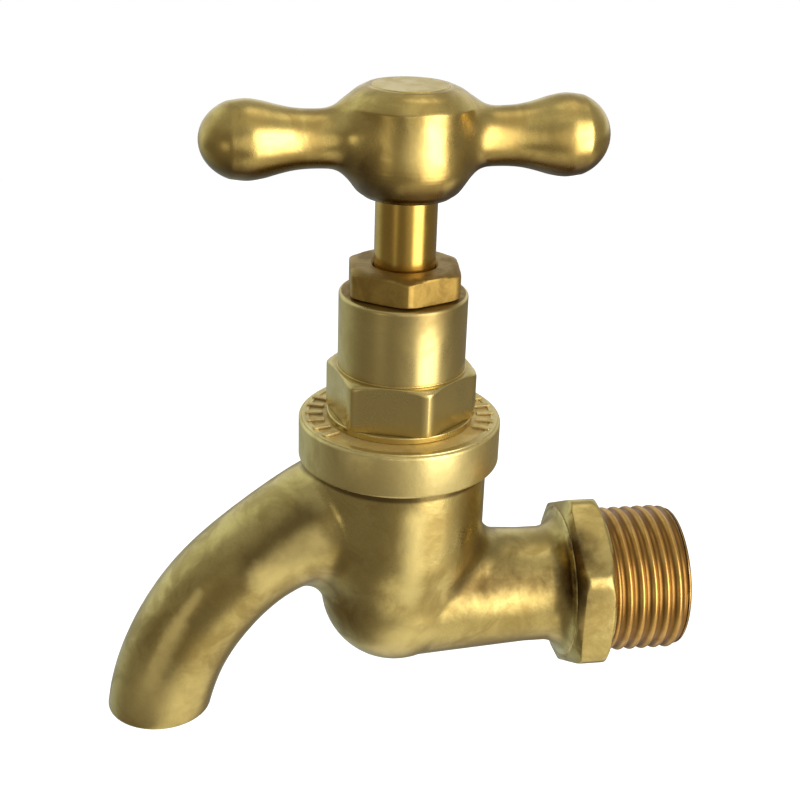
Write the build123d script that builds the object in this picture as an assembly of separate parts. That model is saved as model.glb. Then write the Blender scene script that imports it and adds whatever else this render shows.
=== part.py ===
from build123d import *
import math
import os

# Bib tap with one threaded inlet, a rising spindle and a T handle.
# Millimetres. +Z is up, along the spindle axis.
# The origin lies on the inlet axis, in the plane where the inlet thread meets its hexagon.
# The inlet thread points along +Y, and the spout hangs over on the -Y side.

# Inlet thread, G1/2 parallel pipe thread drawn as rings
INLET_THREAD_R = 10.4775
INLET_THREAD_DEPTH = 1.162
INLET_THREAD_PITCH = 1.814
INLET_THREAD_CREST = 0.40
INLET_THREAD_COUNT = 5
INLET_THREAD_LENGTH = 11.3
INLET_THREAD_LAND = 0.25
INLET_LEAD_IN = 1.0
INLET_LEAD_IN_R = 9.7
INLET_BORE_R = 7.0

# Inlet hexagon
AXIS_TO_SHOULDER = 30.0
INLET_HEX_AF = 23.3
INLET_HEX_WIDTH = 5.8
INLET_HEX_TURN = 30.0
INLET_HEX_BEVEL_R = 11.1
INLET_HEX_BEVEL_DEG = 27.0

# Neck between the inlet hexagon and the chamber
NECK_R = 8.25
NECK_ROOT_R = 9.3
NECK_FLARE_R = 2.8
NECK_BORE_R = 6.0
NECK_BORE_CONE = 3.0

# Chamber
CHAMBER_R = 12.1
CHAMBER_BASE_R = 10.4
CHAMBER_BASE_Z = 1.0
CHAMBER_TAPER_TOP_Z = 10.5
DECK_Z = 8.0
SEAT_BORE_R = 4.25
SEAT_RING_R = 5.4
SEAT_HEIGHT = 1.0
NECK_FILLET = 3.9
SPOUT_FILLET = 3.0

# Collar on top of the chamber
COLLAR_TOP_Z = 28.0
COLLAR_R = 13.7
COLLAR_HEIGHT = 6.0
COLLAR_EDGE = 0.45
MARK_HEIGHT = 0.35
MARK_INNER_R = 10.5
MARK_OUTER_R = 12.8
MARK_WIDTH = 0.75
MARK_STEP_DEG = 12.0
MARKS_PER_SIDE = 6

# Spout
SPOUT_REACH = 33.9
SPOUT_DROP = 16.1
SPOUT_BEND_R = 38.0
SPOUT_END_DEG = 80.0
SPOUT_FLARE_DEG = 38.0
SPOUT_R = 7.2
SPOUT_ROOT_R = 9.2
SPOUT_WALL = 1.9
SPOUT_LIP = 0.5
SPOUT_START_INSET = 3.0

# Bonnet
BONNET_THREAD_R = 8.30
BONNET_THREAD_DEPTH = 0.80
BONNET_THREAD_PITCH = 1.337
BONNET_THREAD_CREST = 0.40
BONNET_SPIGOT = 8.0
BONNET_FLANGE_R = 9.87
BONNET_FLANGE_H = 0.9
BONNET_HEX_AF = 18.1
BONNET_HEX_H = 6.5
BONNET_HEX_BEVEL_R = 9.35
BONNET_HEX_BEVEL_DEG = 30.0
BONNET_HEX_TURN = 11.4
BONNET_R = 8.53
BONNET_TOP_Z = 45.7
BONNET_TOP_EDGE = 0.45
BONNET_THREAD_LEAD_IN = 0.4
BONNET_THREAD_ZONE = 10.0
BONNET_RELIEF_R = 5.5
STUFFING_BOX_R = 6.0
STUFFING_BOX_DEPTH = 7.5

# Sealing washer under the bonnet flange
BONNET_WASHER_OD = 19.4
BONNET_WASHER_H = 0.95
BONNET_WASHER_RECESS = 1.0

# Gland
GLAND_HEX_AF = 14.2
GLAND_HEX_H = 3.8
GLAND_HEX_GAP = 0.05
GLAND_HEX_TURN = -5.7
GLAND_HEX_BEVEL_R = 7.7
GLAND_HEX_BEVEL_DEG = 22.0
GLAND_SPIGOT = 3.4
GLAND_THREAD_DEPTH = 0.5
GLAND_THREAD_PITCH = 0.9
GLAND_THREAD_CREST = 0.3
GLAND_THREAD_LEAD_IN = 0.2
GLAND_MOUTH = 0.35
GLAND_FOLLOWER_H = 0.8
PACKING_RINGS = 3

# Spindle
STEM_R = 4.03
SPINDLE_THREAD_R = 5.10
SPINDLE_THREAD_DEPTH = 0.75
SPINDLE_THREAD_LEAD = 2.2
SPINDLE_THREAD_CREST = 0.7
SPINDLE_THREAD_TOP_Z = 29.5
SPINDLE_THREAD_LEAD_IN = 0.3
SPINDLE_SQUARE = 5.6
SPINDLE_SQUARE_H = 4.8
SPINDLE_ROUND_SEAT = 3.0
SPINDLE_TAPPED_R = 1.7
SPINDLE_TAPPED_DEPTH = 8.0
SPINDLE_LIFT = 4.95
SPINDLE_LIFT_SPARE = 0.75

# Jumper, washer and its nut
WASHER_R = 5.9
WASHER_H = 2.5
JUMPER_PLATE_R = 6.2
JUMPER_PLATE_H = 1.5
JUMPER_STEM_R = 2.4
JUMPER_STEM_H = 12.0
JUMPER_TIP = 0.4
JUMPER_STUD_R = 1.5
JUMPER_STUD_H = 5.6
WASHER_NUT_AF = 5.0
WASHER_NUT_H = 2.2
JUMPER_SOCKET_EXTRA = 2.0

# Handle
HANDLE_AXIS_Z = 66.0
HANDLE_TURN = 92.0
HANDLE_BASE_Z = 58.8
HANDLE_BASE_R = 5.8
HANDLE_BOSS_R = 8.1
HANDLE_SHOULDER_Z = 70.6
HANDLE_TOP_Z = 72.5
HANDLE_FLAT_R = 5.5
HANDLE_NECK_R = 3.73
HANDLE_NECK_X = 12.2
HANDLE_KNOB_R = 5.15
HANDLE_KNOB_X = 20.4
HANDLE_REACH = 26.25
HANDLE_WEB = 1.2
HANDLE_POCKET_R = 3.9
CAP_R = 4.88
CAP_H = 1.0
CAP_PROUD = 0.1
CAP_EDGE = 0.12
SCREW_R = 1.68
SCREW_LENGTH = 7.5
SCREW_HEAD_R = 3.4
SCREW_HEAD_H = 2.2
SCREW_HEAD_EDGE = 0.5
SCREW_SLOT_W = 0.9
SCREW_SLOT_D = 0.9
SCREW_HOLE_R = 2.1

# Boss side between its base and its shoulder, as shares of its widening and of its rise
HANDLE_SIDE_SHAPE = ((0.52, 0.09), (1.04, 0.31), (1.01, 0.63))
HANDLE_SIDE_LEAVES = 0.15

# Boss top between its shoulder and its flat, as shares of the step in and of the step up
HANDLE_DOME_SHAPE = (0.51, 0.62)

# Arm between its neck and its knob, as shares of the distance and of the widening
HANDLE_ARM_SHAPE = ((0.48, 0.23), (0.75, 0.74))

# Knob's end, as shares of the distance to its tip and of its radius
HANDLE_END_SHAPE = ((0.43, 0.93), (0.80, 0.65))

# Share of a thread gap that each flank takes
THREAD_FLANK_SHARE = 0.42

# Clearances, all radial or along the axis
RUN_FIT = 0.03
THREAD_FIT = 0.03
LOOSE_FIT = 0.15
STACK_GAP = 0.01
SEAT_GAP = 0.02
CAP_FIT = 0.02
SQUARE_FIT = 0.03

SPINDLE_Y = -AXIS_TO_SHOULDER
SEAT_Z = DECK_Z + SEAT_HEIGHT
WASHER_Z = SEAT_Z + SEAT_GAP
PLATE_Z = WASHER_Z + WASHER_H + STACK_GAP
PLATE_TOP_Z = PLATE_Z + JUMPER_PLATE_H
SPINDLE_BOTTOM_Z = PLATE_TOP_Z + SEAT_GAP
COLLAR_BOTTOM_Z = COLLAR_TOP_Z - COLLAR_HEIGHT
FLANGE_TOP_Z = COLLAR_TOP_Z + BONNET_FLANGE_H
SPIGOT_BOTTOM_Z = COLLAR_TOP_Z - BONNET_SPIGOT
BOX_FLOOR_Z = BONNET_TOP_Z - STUFFING_BOX_DEPTH
GLAND_HEX_Z = BONNET_TOP_Z + GLAND_HEX_GAP
GLAND_TOP_Z = GLAND_HEX_Z + GLAND_HEX_H
GLAND_BOTTOM_Z = BONNET_TOP_Z - GLAND_SPIGOT
FOLLOWER_Z = GLAND_BOTTOM_Z - STACK_GAP - GLAND_FOLLOWER_H
PACKING_H = (FOLLOWER_Z - BOX_FLOOR_Z) / PACKING_RINGS
HANDLE_SEAT_Z = HANDLE_BASE_Z + SPINDLE_ROUND_SEAT
SQUARE_TOP_Z = HANDLE_SEAT_Z + SPINDLE_SQUARE_H
WEB_Z = SQUARE_TOP_Z + RUN_FIT
WEB_TOP_Z = WEB_Z + HANDLE_WEB
CAP_Z = HANDLE_TOP_Z + CAP_PROUD - CAP_H
CHAMBER_BORE_R = BONNET_THREAD_R + THREAD_FIT
SPOUT_BORE_R = SPOUT_R - SPOUT_WALL

AT_SPINDLE = Pos(0, SPINDLE_Y, 0)


def turned(points, axis=Axis.Z, plane=Plane.YZ):
    # A solid of revolution from a closed polygon of radius and height pairs.
    with BuildSketch(plane) as sketch:
        with BuildLine():
            Polyline(*points, close=True)
        make_face()
    return revolve(sketch.sketch, axis, 360)


def rod(radius, bottom, top):
    return Pos(0, 0, bottom) * Cylinder(
        radius, top - bottom, align=(Align.CENTER, Align.CENTER, Align.MIN))


def tube(outer, inner, bottom, top):
    return rod(outer, bottom, top) - rod(inner, bottom - 1, top + 1)


def ring_thread(radius, depth, pitch, crest, start, length, lead_in):
    # Outline of a ring thread, from the start along the axis, as radius and height pairs.
    flank = (pitch - crest) * THREAD_FLANK_SHARE
    count = int((length - lead_in) / pitch)
    points = [(0.0, start), (radius - depth, start)]
    here = start + (length - lead_in - count * pitch) / 2
    for number in range(count):
        low = here + (pitch - crest) / 2
        points.append((radius - depth, low - flank))
        points.append((radius, low))
        points.append((radius, low + crest))
        points.append((radius - depth, low + crest + flank))
        here += pitch
    end = start + length
    points.append((radius - depth, end - (lead_in - 0.05)))
    points.append((radius - depth, end))
    points.append((0.0, end))
    return points


def bevelled_hex(across_flats, bottom, top, bevel_r, bevel_deg, both):
    # A hexagon whose corners are turned off by a cone at the top, and at the bottom if both.
    half = across_flats / math.sqrt(3)
    block = Pos(0, 0, bottom) * extrude(RegularPolygon(half, 6), top - bottom)
    reach = half + 1
    drop = (reach - bevel_r) * math.tan(math.radians(bevel_deg))
    low = bottom + drop if both else bottom
    foot = bevel_r if both else reach
    outline = [(0, bottom), (foot, bottom), (reach, low), (reach, top - drop),
               (bevel_r, top), (0, top)]
    if not both:
        outline = [(0, bottom), (reach, bottom), (reach, top - drop), (bevel_r, top), (0, top)]
    return block & turned(outline)


def spout_point(slope_deg):
    # Centre of the spout where its centreline slopes down by this much.
    end = math.radians(SPOUT_END_DEG)
    slope = math.radians(slope_deg)
    y = -SPOUT_REACH + SPOUT_BEND_R * (math.sin(end) - math.sin(slope))
    z = -SPOUT_DROP - SPOUT_BEND_R * (math.cos(end) - math.cos(slope))
    return SPINDLE_Y + y, z


def spout_start_deg(inset):
    # Slope of the spout's centreline at this distance from the spindle axis.
    end = math.radians(SPOUT_END_DEG)
    return math.degrees(math.asin(math.sin(end) - (SPOUT_REACH - inset) / SPOUT_BEND_R))


def spout_section(slope_deg, radius):
    y, z = spout_point(slope_deg)
    slope = math.radians(slope_deg)
    facing = Vector(0, -math.cos(slope), -math.sin(slope))
    return Plane(origin=(0, y, z), x_dir=(1, 0, 0), z_dir=facing) * Circle(radius)


def spout_outside():
    start = spout_start_deg(SPOUT_START_INSET)
    last = SPOUT_END_DEG + math.degrees(SPOUT_R / SPOUT_BEND_R) * 0.6
    steps = 9
    sections = []
    for number in range(steps):
        slope = start + (last - start) * number / (steps - 1)
        blend = max(0.0, min(1.0, (SPOUT_FLARE_DEG - slope) / (SPOUT_FLARE_DEG - start)))
        blend = blend * blend * (3 - 2 * blend)
        sections.append(spout_section(slope, SPOUT_R + (SPOUT_ROOT_R - SPOUT_R) * blend))
    return loft(sections)


def below_mouth():
    size = 4 * SPOUT_REACH
    return Pos(0, SPINDLE_Y - SPOUT_REACH, -SPOUT_DROP) * Box(
        size / 2, size / 2, size, align=(Align.CENTER, Align.CENTER, Align.MAX))


def spout_bore():
    start = spout_start_deg(SPOUT_START_INSET + 1)
    last = SPOUT_END_DEG + math.degrees(SPOUT_R / SPOUT_BEND_R)
    y, z = spout_point(0)
    centre = Axis((0, y, z - SPOUT_BEND_R), (1, 0, 0))
    return revolve(spout_section(start, SPOUT_BORE_R), centre, last - start)


def chamber_outside():
    low = CHAMBER_BASE_Z - CHAMBER_BASE_R
    with BuildSketch(Plane.YZ) as sketch:
        with BuildLine():
            Polyline((0, COLLAR_TOP_Z - 1), (CHAMBER_R, COLLAR_TOP_Z - 1),
                     (CHAMBER_R, CHAMBER_TAPER_TOP_Z))
            Spline((CHAMBER_R, CHAMBER_TAPER_TOP_Z), (CHAMBER_BASE_R, CHAMBER_BASE_Z),
                   tangents=((0, -1), (0, -1)))
            CenterArc((0, CHAMBER_BASE_Z), CHAMBER_BASE_R, 0, -90)
            Line((0, low), (0, COLLAR_TOP_Z - 1))
        make_face()
    return AT_SPINDLE * revolve(sketch.sketch, Axis.Z, 360)


def neck_outside():
    hex_back = -INLET_HEX_WIDTH
    flare_top = min(NECK_R + NECK_FLARE_R, INLET_HEX_BEVEL_R - 0.05)
    bend = hex_back - NECK_FLARE_R
    lean = math.sqrt(0.5)
    mid = (bend + NECK_FLARE_R * lean, NECK_R + (flare_top - NECK_R) * (1 - lean))
    with BuildSketch(Plane.YZ) as sketch:
        with BuildLine():
            Polyline((SPINDLE_Y + 1, 0), (SPINDLE_Y + 1, NECK_ROOT_R), (bend - 3, NECK_R),
                     (bend, NECK_R))
            ThreePointArc((bend, NECK_R), mid, (hex_back, flare_top))
            Polyline((hex_back, flare_top), (hex_back + 1, flare_top), (hex_back + 1, 0),
                     (SPINDLE_Y + 1, 0))
        make_face()
    return revolve(sketch.sketch, Axis.Y, 360)


def collar():
    ring = rod(COLLAR_R, COLLAR_BOTTOM_Z, COLLAR_TOP_Z)
    return AT_SPINDLE * fillet(ring.edges().filter_by(GeomType.CIRCLE), COLLAR_EDGE)


def collar_marks():
    # Plain raised strokes in two arcs, above the spout and above the inlet.
    marks = []
    length = MARK_OUTER_R - MARK_INNER_R
    half = (MARKS_PER_SIDE - 1) / 2
    for side in (90.0, 270.0):
        for number in range(MARKS_PER_SIDE):
            turn = side + (number - half) * MARK_STEP_DEG
            stroke = Pos(MARK_INNER_R + length / 2, 0, COLLAR_TOP_Z - 0.5) * Box(
                length, MARK_WIDTH, 0.5 + MARK_HEIGHT,
                align=(Align.CENTER, Align.CENTER, Align.MIN))
            marks.append(AT_SPINDLE * Rot(0, 0, turn) * stroke)
    return marks


def inlet_thread():
    # A land at the shoulder, then equal crests, then a tapered lead-in at the pipe end.
    root = INLET_THREAD_R - INLET_THREAD_DEPTH
    flank = (INLET_THREAD_PITCH - INLET_THREAD_CREST) * THREAD_FLANK_SHARE
    outline = [(0.0, -1.0), (INLET_THREAD_R, -1.0), (INLET_THREAD_R, INLET_THREAD_LAND)]
    edge = INLET_THREAD_LAND
    for number in range(INLET_THREAD_COUNT):
        crest = edge + INLET_THREAD_PITCH - INLET_THREAD_CREST
        outline.append((root, edge + flank))
        outline.append((root, crest - flank))
        outline.append((INLET_THREAD_R, crest))
        outline.append((INLET_THREAD_R, crest + INLET_THREAD_CREST))
        edge = crest + INLET_THREAD_CREST
    taper = INLET_THREAD_LENGTH - INLET_LEAD_IN
    outline.append((root, edge + flank))
    outline.append((root, max(taper, edge + flank) + 0.05))
    outline.append((INLET_LEAD_IN_R + 0.25, max(taper, edge + flank) + flank / 2))
    outline.append((INLET_LEAD_IN_R, INLET_THREAD_LENGTH))
    outline.append((0.0, INLET_THREAD_LENGTH))
    return Rot(-90, 0, 0) * turned(outline)


def make_tap_body():
    core = chamber_outside()
    spout = spout_outside() - below_mouth()
    core = core + spout
    joins = [edge for edge in core.edges()
             if edge.geom_type == GeomType.BSPLINE
             and abs(edge.center().Y - SPINDLE_Y + CHAMBER_R / 2) < CHAMBER_R * 0.6
             and edge.length > 1.0]
    core = fillet(joins, SPOUT_FILLET)
    core = core + neck_outside()
    joins = [edge for edge in core.edges()
             if edge.geom_type == GeomType.BSPLINE
             and 3 < edge.center().Y - SPINDLE_Y < 15
             and edge.center().Z > -9 and edge.length > 3.0]
    core = fillet(joins, NECK_FILLET)
    lip = [edge for edge in core.edges() if abs(edge.center().Z + SPOUT_DROP) < 0.01]
    core = fillet(lip, SPOUT_LIP)
    core = core + collar()
    for mark in collar_marks():
        core = core + mark
    block = bevelled_hex(INLET_HEX_AF, -INLET_HEX_WIDTH, 0, INLET_HEX_BEVEL_R,
                         INLET_HEX_BEVEL_DEG, True)
    core = core + Rot(-90, 0, 0) * Rot(0, 0, INLET_HEX_TURN) * block
    core = core + inlet_thread()

    step = -INLET_HEX_WIDTH
    bore = turned([(0, INLET_THREAD_LENGTH + 1), (INLET_BORE_R, INLET_THREAD_LENGTH + 1),
                   (INLET_BORE_R, step), (NECK_BORE_R, step - NECK_BORE_CONE),
                   (NECK_BORE_R, SPINDLE_Y), (0, SPINDLE_Y)])
    core = core - Rot(-90, 0, 0) * bore
    core = core - AT_SPINDLE * Sphere(NECK_BORE_R)
    core = core - AT_SPINDLE * tube(CHAMBER_BORE_R, SEAT_RING_R, DECK_Z, SEAT_Z)
    core = core - AT_SPINDLE * rod(CHAMBER_BORE_R, SEAT_Z, COLLAR_TOP_Z + 1)
    core = core - AT_SPINDLE * rod(SEAT_BORE_R, 0, SEAT_Z + 1)
    recess = BONNET_WASHER_OD / 2 + THREAD_FIT
    core = core - AT_SPINDLE * rod(recess, COLLAR_TOP_Z - BONNET_WASHER_RECESS, COLLAR_TOP_Z + 1)
    core = core - (spout_bore() - AT_SPINDLE * rod(CHAMBER_BORE_R, 0, SEAT_Z))
    return core


def make_bonnet():
    spigot = ring_thread(BONNET_THREAD_R, BONNET_THREAD_DEPTH, BONNET_THREAD_PITCH,
                         BONNET_THREAD_CREST, SPIGOT_BOTTOM_Z,
                         BONNET_SPIGOT - BONNET_WASHER_RECESS, BONNET_THREAD_LEAD_IN)
    solid = turned(spigot) + rod(BONNET_THREAD_R - BONNET_THREAD_DEPTH,
                                 COLLAR_TOP_Z - BONNET_WASHER_RECESS - 0.5, COLLAR_TOP_Z + 0.5)
    flange = rod(BONNET_FLANGE_R, COLLAR_TOP_Z, FLANGE_TOP_Z)
    solid = solid + flange
    block = bevelled_hex(BONNET_HEX_AF, FLANGE_TOP_Z, FLANGE_TOP_Z + BONNET_HEX_H,
                         BONNET_HEX_BEVEL_R, BONNET_HEX_BEVEL_DEG, False)
    solid = solid + Rot(0, 0, BONNET_HEX_TURN) * block
    barrel = rod(BONNET_R, FLANGE_TOP_Z, BONNET_TOP_Z)
    top = barrel.edges().filter_by(GeomType.CIRCLE).sort_by(Axis.Z)[-1]
    solid = solid + fillet(top, BONNET_TOP_EDGE)
    thread_top = SPIGOT_BOTTOM_Z + BONNET_THREAD_ZONE
    relief_top = SPINDLE_THREAD_TOP_Z + SPINDLE_LIFT + SPINDLE_LIFT_SPARE
    solid = solid - rod(SPINDLE_THREAD_R + THREAD_FIT, SPIGOT_BOTTOM_Z - 1, thread_top)
    solid = solid - rod(BONNET_RELIEF_R, thread_top, relief_top)
    solid = solid - rod(STEM_R + RUN_FIT, relief_top - 1, BOX_FLOOR_Z + 1)
    solid = solid - rod(STUFFING_BOX_R, BOX_FLOOR_Z, BONNET_TOP_Z + 1)
    return AT_SPINDLE * solid


def make_bonnet_washer():
    floor = COLLAR_TOP_Z - BONNET_WASHER_RECESS
    return AT_SPINDLE * tube(BONNET_WASHER_OD / 2, BONNET_THREAD_R + THREAD_FIT,
                             floor + STACK_GAP, floor + STACK_GAP + BONNET_WASHER_H)


def make_gland_nut():
    spigot = ring_thread(STUFFING_BOX_R - THREAD_FIT, GLAND_THREAD_DEPTH, GLAND_THREAD_PITCH,
                         GLAND_THREAD_CREST, GLAND_BOTTOM_Z, GLAND_HEX_Z - GLAND_BOTTOM_Z,
                         GLAND_THREAD_LEAD_IN)
    solid = turned(spigot)
    block = bevelled_hex(GLAND_HEX_AF, GLAND_HEX_Z, GLAND_TOP_Z, GLAND_HEX_BEVEL_R,
                         GLAND_HEX_BEVEL_DEG, True)
    solid = solid + Rot(0, 0, GLAND_HEX_TURN) * block
    bore = STEM_R + RUN_FIT * 2
    mouth = turned([(0, GLAND_BOTTOM_Z - 1), (bore, GLAND_BOTTOM_Z - 1),
                    (bore, GLAND_TOP_Z - GLAND_MOUTH), (bore + GLAND_MOUTH, GLAND_TOP_Z),
                    (bore + GLAND_MOUTH, GLAND_TOP_Z + 1), (0, GLAND_TOP_Z + 1)])
    return AT_SPINDLE * (solid - mouth)


def make_gland_follower():
    return AT_SPINDLE * tube(STUFFING_BOX_R - THREAD_FIT, STEM_R + RUN_FIT * 2,
                             FOLLOWER_Z, FOLLOWER_Z + GLAND_FOLLOWER_H)


def make_packing_ring(number):
    bottom = BOX_FLOOR_Z + number * PACKING_H + STACK_GAP / 2
    return AT_SPINDLE * tube(STUFFING_BOX_R - THREAD_FIT / 2, STEM_R + RUN_FIT,
                             bottom, bottom + PACKING_H - STACK_GAP)


def make_spindle():
    thread = ring_thread(SPINDLE_THREAD_R, SPINDLE_THREAD_DEPTH, SPINDLE_THREAD_LEAD,
                         SPINDLE_THREAD_CREST, SPINDLE_BOTTOM_Z,
                         SPINDLE_THREAD_TOP_Z - SPINDLE_BOTTOM_Z, SPINDLE_THREAD_LEAD_IN)
    solid = turned(thread) + rod(STEM_R, SPINDLE_THREAD_TOP_Z - 0.5, HANDLE_SEAT_Z)
    square = Pos(0, 0, HANDLE_SEAT_Z - 0.5) * Box(
        SPINDLE_SQUARE, SPINDLE_SQUARE, SPINDLE_SQUARE_H + 0.5,
        align=(Align.CENTER, Align.CENTER, Align.MIN))
    solid = solid + Rot(0, 0, HANDLE_TURN) * (square & rod(STEM_R, HANDLE_SEAT_Z - 1, SQUARE_TOP_Z))
    socket_top = PLATE_TOP_Z + JUMPER_STEM_H + JUMPER_SOCKET_EXTRA
    solid = solid - rod(JUMPER_STEM_R + LOOSE_FIT, SPINDLE_BOTTOM_Z - 1, socket_top)
    solid = solid - rod(SPINDLE_TAPPED_R, SQUARE_TOP_Z - SPINDLE_TAPPED_DEPTH, SQUARE_TOP_Z + 1)
    return AT_SPINDLE * solid


def make_jumper_valve():
    solid = rod(JUMPER_PLATE_R, PLATE_Z, PLATE_TOP_Z)
    stem = rod(JUMPER_STEM_R, PLATE_TOP_Z - 0.5, PLATE_TOP_Z + JUMPER_STEM_H)
    tip = stem.edges().filter_by(GeomType.CIRCLE).sort_by(Axis.Z)[-1]
    solid = solid + chamfer(tip, JUMPER_TIP)
    solid = solid + rod(JUMPER_STUD_R, PLATE_Z - JUMPER_STUD_H, PLATE_Z + 0.5)
    return AT_SPINDLE * solid


def make_tap_washer():
    return AT_SPINDLE * tube(WASHER_R, JUMPER_STUD_R + RUN_FIT, WASHER_Z, WASHER_Z + WASHER_H)


def make_washer_nut():
    top = WASHER_Z - STACK_GAP
    block = bevelled_hex(WASHER_NUT_AF, top - WASHER_NUT_H, top, WASHER_NUT_AF / 2,
                         BONNET_HEX_BEVEL_DEG, True)
    hole = rod(JUMPER_STUD_R + THREAD_FIT, top - WASHER_NUT_H - 1, top + 1)
    return AT_SPINDLE * (block - hole)


def handle_boss():
    rise = HANDLE_SHOULDER_Z - HANDLE_BASE_Z
    swell = HANDLE_BOSS_R - HANDLE_BASE_R
    side = [(HANDLE_BASE_R, HANDLE_BASE_Z)]
    for out, up in HANDLE_SIDE_SHAPE:
        side.append((HANDLE_BASE_R + swell * out, HANDLE_BASE_Z + rise * up))
    side.append((HANDLE_BOSS_R, HANDLE_SHOULDER_Z))
    step_in, step_up = HANDLE_DOME_SHAPE
    dome = (HANDLE_BOSS_R + (HANDLE_FLAT_R - HANDLE_BOSS_R) * step_in,
            HANDLE_SHOULDER_Z + (HANDLE_TOP_Z - HANDLE_SHOULDER_Z) * step_up)
    with BuildSketch(Plane.YZ) as sketch:
        with BuildLine():
            Line((0, HANDLE_BASE_Z), side[0])
            Spline(*side, tangents=((1, HANDLE_SIDE_LEAVES), (0, 1)))
            ThreePointArc(side[-1], dome, (HANDLE_FLAT_R, HANDLE_TOP_Z))
            Polyline((HANDLE_FLAT_R, HANDLE_TOP_Z), (0, HANDLE_TOP_Z), (0, HANDLE_BASE_Z))
        make_face()
    return revolve(sketch.sketch, Axis.Z, 360)


def handle_arm():
    span = HANDLE_KNOB_X - HANDLE_NECK_X
    past = HANDLE_REACH - HANDLE_KNOB_X
    swell = HANDLE_KNOB_R - HANDLE_NECK_R
    outline = [(HANDLE_NECK_X, HANDLE_NECK_R)]
    for out, wide in HANDLE_ARM_SHAPE:
        outline.append((HANDLE_NECK_X + span * out, HANDLE_NECK_R + swell * wide))
    outline.append((HANDLE_KNOB_X, HANDLE_KNOB_R))
    for out, wide in HANDLE_END_SHAPE:
        outline.append((HANDLE_KNOB_X + past * out, HANDLE_KNOB_R * wide))
    outline.append((HANDLE_REACH, 0))
    with BuildSketch(Plane.XY) as sketch:
        with BuildLine():
            Polyline((HANDLE_REACH, 0), (0, 0), (0, HANDLE_NECK_R), outline[0])
            Spline(*outline, tangents=((1, 0), (0, -1)))
        make_face()
    return Pos(0, 0, HANDLE_AXIS_Z) * revolve(sketch.sketch, Axis.X, 360)


def make_handle():
    solid = handle_boss() + handle_arm() + Rot(0, 0, 180) * handle_arm()
    solid = solid - rod(STEM_R + RUN_FIT, HANDLE_BASE_Z - 1, HANDLE_SEAT_Z)
    socket = SPINDLE_SQUARE + 2 * SQUARE_FIT
    hole = Pos(0, 0, HANDLE_SEAT_Z - 0.5) * Box(
        socket, socket, WEB_Z - HANDLE_SEAT_Z + 0.5,
        align=(Align.CENTER, Align.CENTER, Align.MIN))
    hole = hole & rod(STEM_R + RUN_FIT, HANDLE_SEAT_Z - 1, WEB_Z)
    solid = solid - hole
    solid = solid - rod(SCREW_HOLE_R, WEB_Z - 1, WEB_TOP_Z + 1)
    solid = solid - rod(HANDLE_POCKET_R, WEB_TOP_Z, CAP_Z + 0.5)
    solid = solid - rod(CAP_R + CAP_FIT, CAP_Z - STACK_GAP, HANDLE_TOP_Z + 1)
    return AT_SPINDLE * Rot(0, 0, HANDLE_TURN) * solid


def make_handle_screw():
    bottom = WEB_TOP_Z + STACK_GAP
    solid = rod(SCREW_HEAD_R, bottom, bottom + SCREW_HEAD_H)
    top = solid.edges().filter_by(GeomType.CIRCLE).sort_by(Axis.Z)[-1]
    solid = fillet(top, SCREW_HEAD_EDGE)
    slot = Pos(0, 0, bottom + SCREW_HEAD_H - SCREW_SLOT_D) * Box(
        2 * SCREW_HEAD_R + 1, SCREW_SLOT_W, SCREW_SLOT_D + 1,
        align=(Align.CENTER, Align.CENTER, Align.MIN))
    solid = solid - slot
    solid = solid + rod(SCREW_R, bottom - SCREW_LENGTH, bottom + 0.5)
    return AT_SPINDLE * solid


def make_handle_cap():
    disc = rod(CAP_R, CAP_Z, CAP_Z + CAP_H)
    top = disc.edges().filter_by(GeomType.CIRCLE).sort_by(Axis.Z)[-1]
    return AT_SPINDLE * chamfer(top, CAP_EDGE)


nodes = {
    "tap_body": make_tap_body(),
    "bonnet": make_bonnet(),
    "bonnet_washer": make_bonnet_washer(),
    "gland_nut": make_gland_nut(),
    "gland_follower": make_gland_follower(),
    "spindle": make_spindle(),
    "jumper_valve": make_jumper_valve(),
    "tap_washer": make_tap_washer(),
    "washer_nut": make_washer_nut(),
    "handle": make_handle(),
    "handle_screw": make_handle_screw(),
    "handle_cap": make_handle_cap(),
}
for number in range(PACKING_RINGS):
    nodes["packing_ring_" + str(number + 1)] = make_packing_ring(number)

os.makedirs("parts", exist_ok=True)
for name, shape in nodes.items():
    solids = shape.solids()
    part = solids[0] if len(solids) == 1 else Compound(children=list(solids))
    part.label = name
    export_step(part, "parts/" + name + ".step")
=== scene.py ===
"""A brass bib tap: finer shapes, finishes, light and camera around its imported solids.

Places and sizes are in millimetres in the classes, and go into the meshes in metres, in the part's own
frame: +Z up along the spindle, +Y along the inlet, and the origin where the inlet thread meets its hexagon.
"""
import logging
import math
from contextlib import contextmanager
from dataclasses import dataclass, field
from enum import Enum
from typing import Any, Iterator, Sequence

import bmesh
import bpy
import numpy as np
from mathutils import Matrix, Vector


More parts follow.
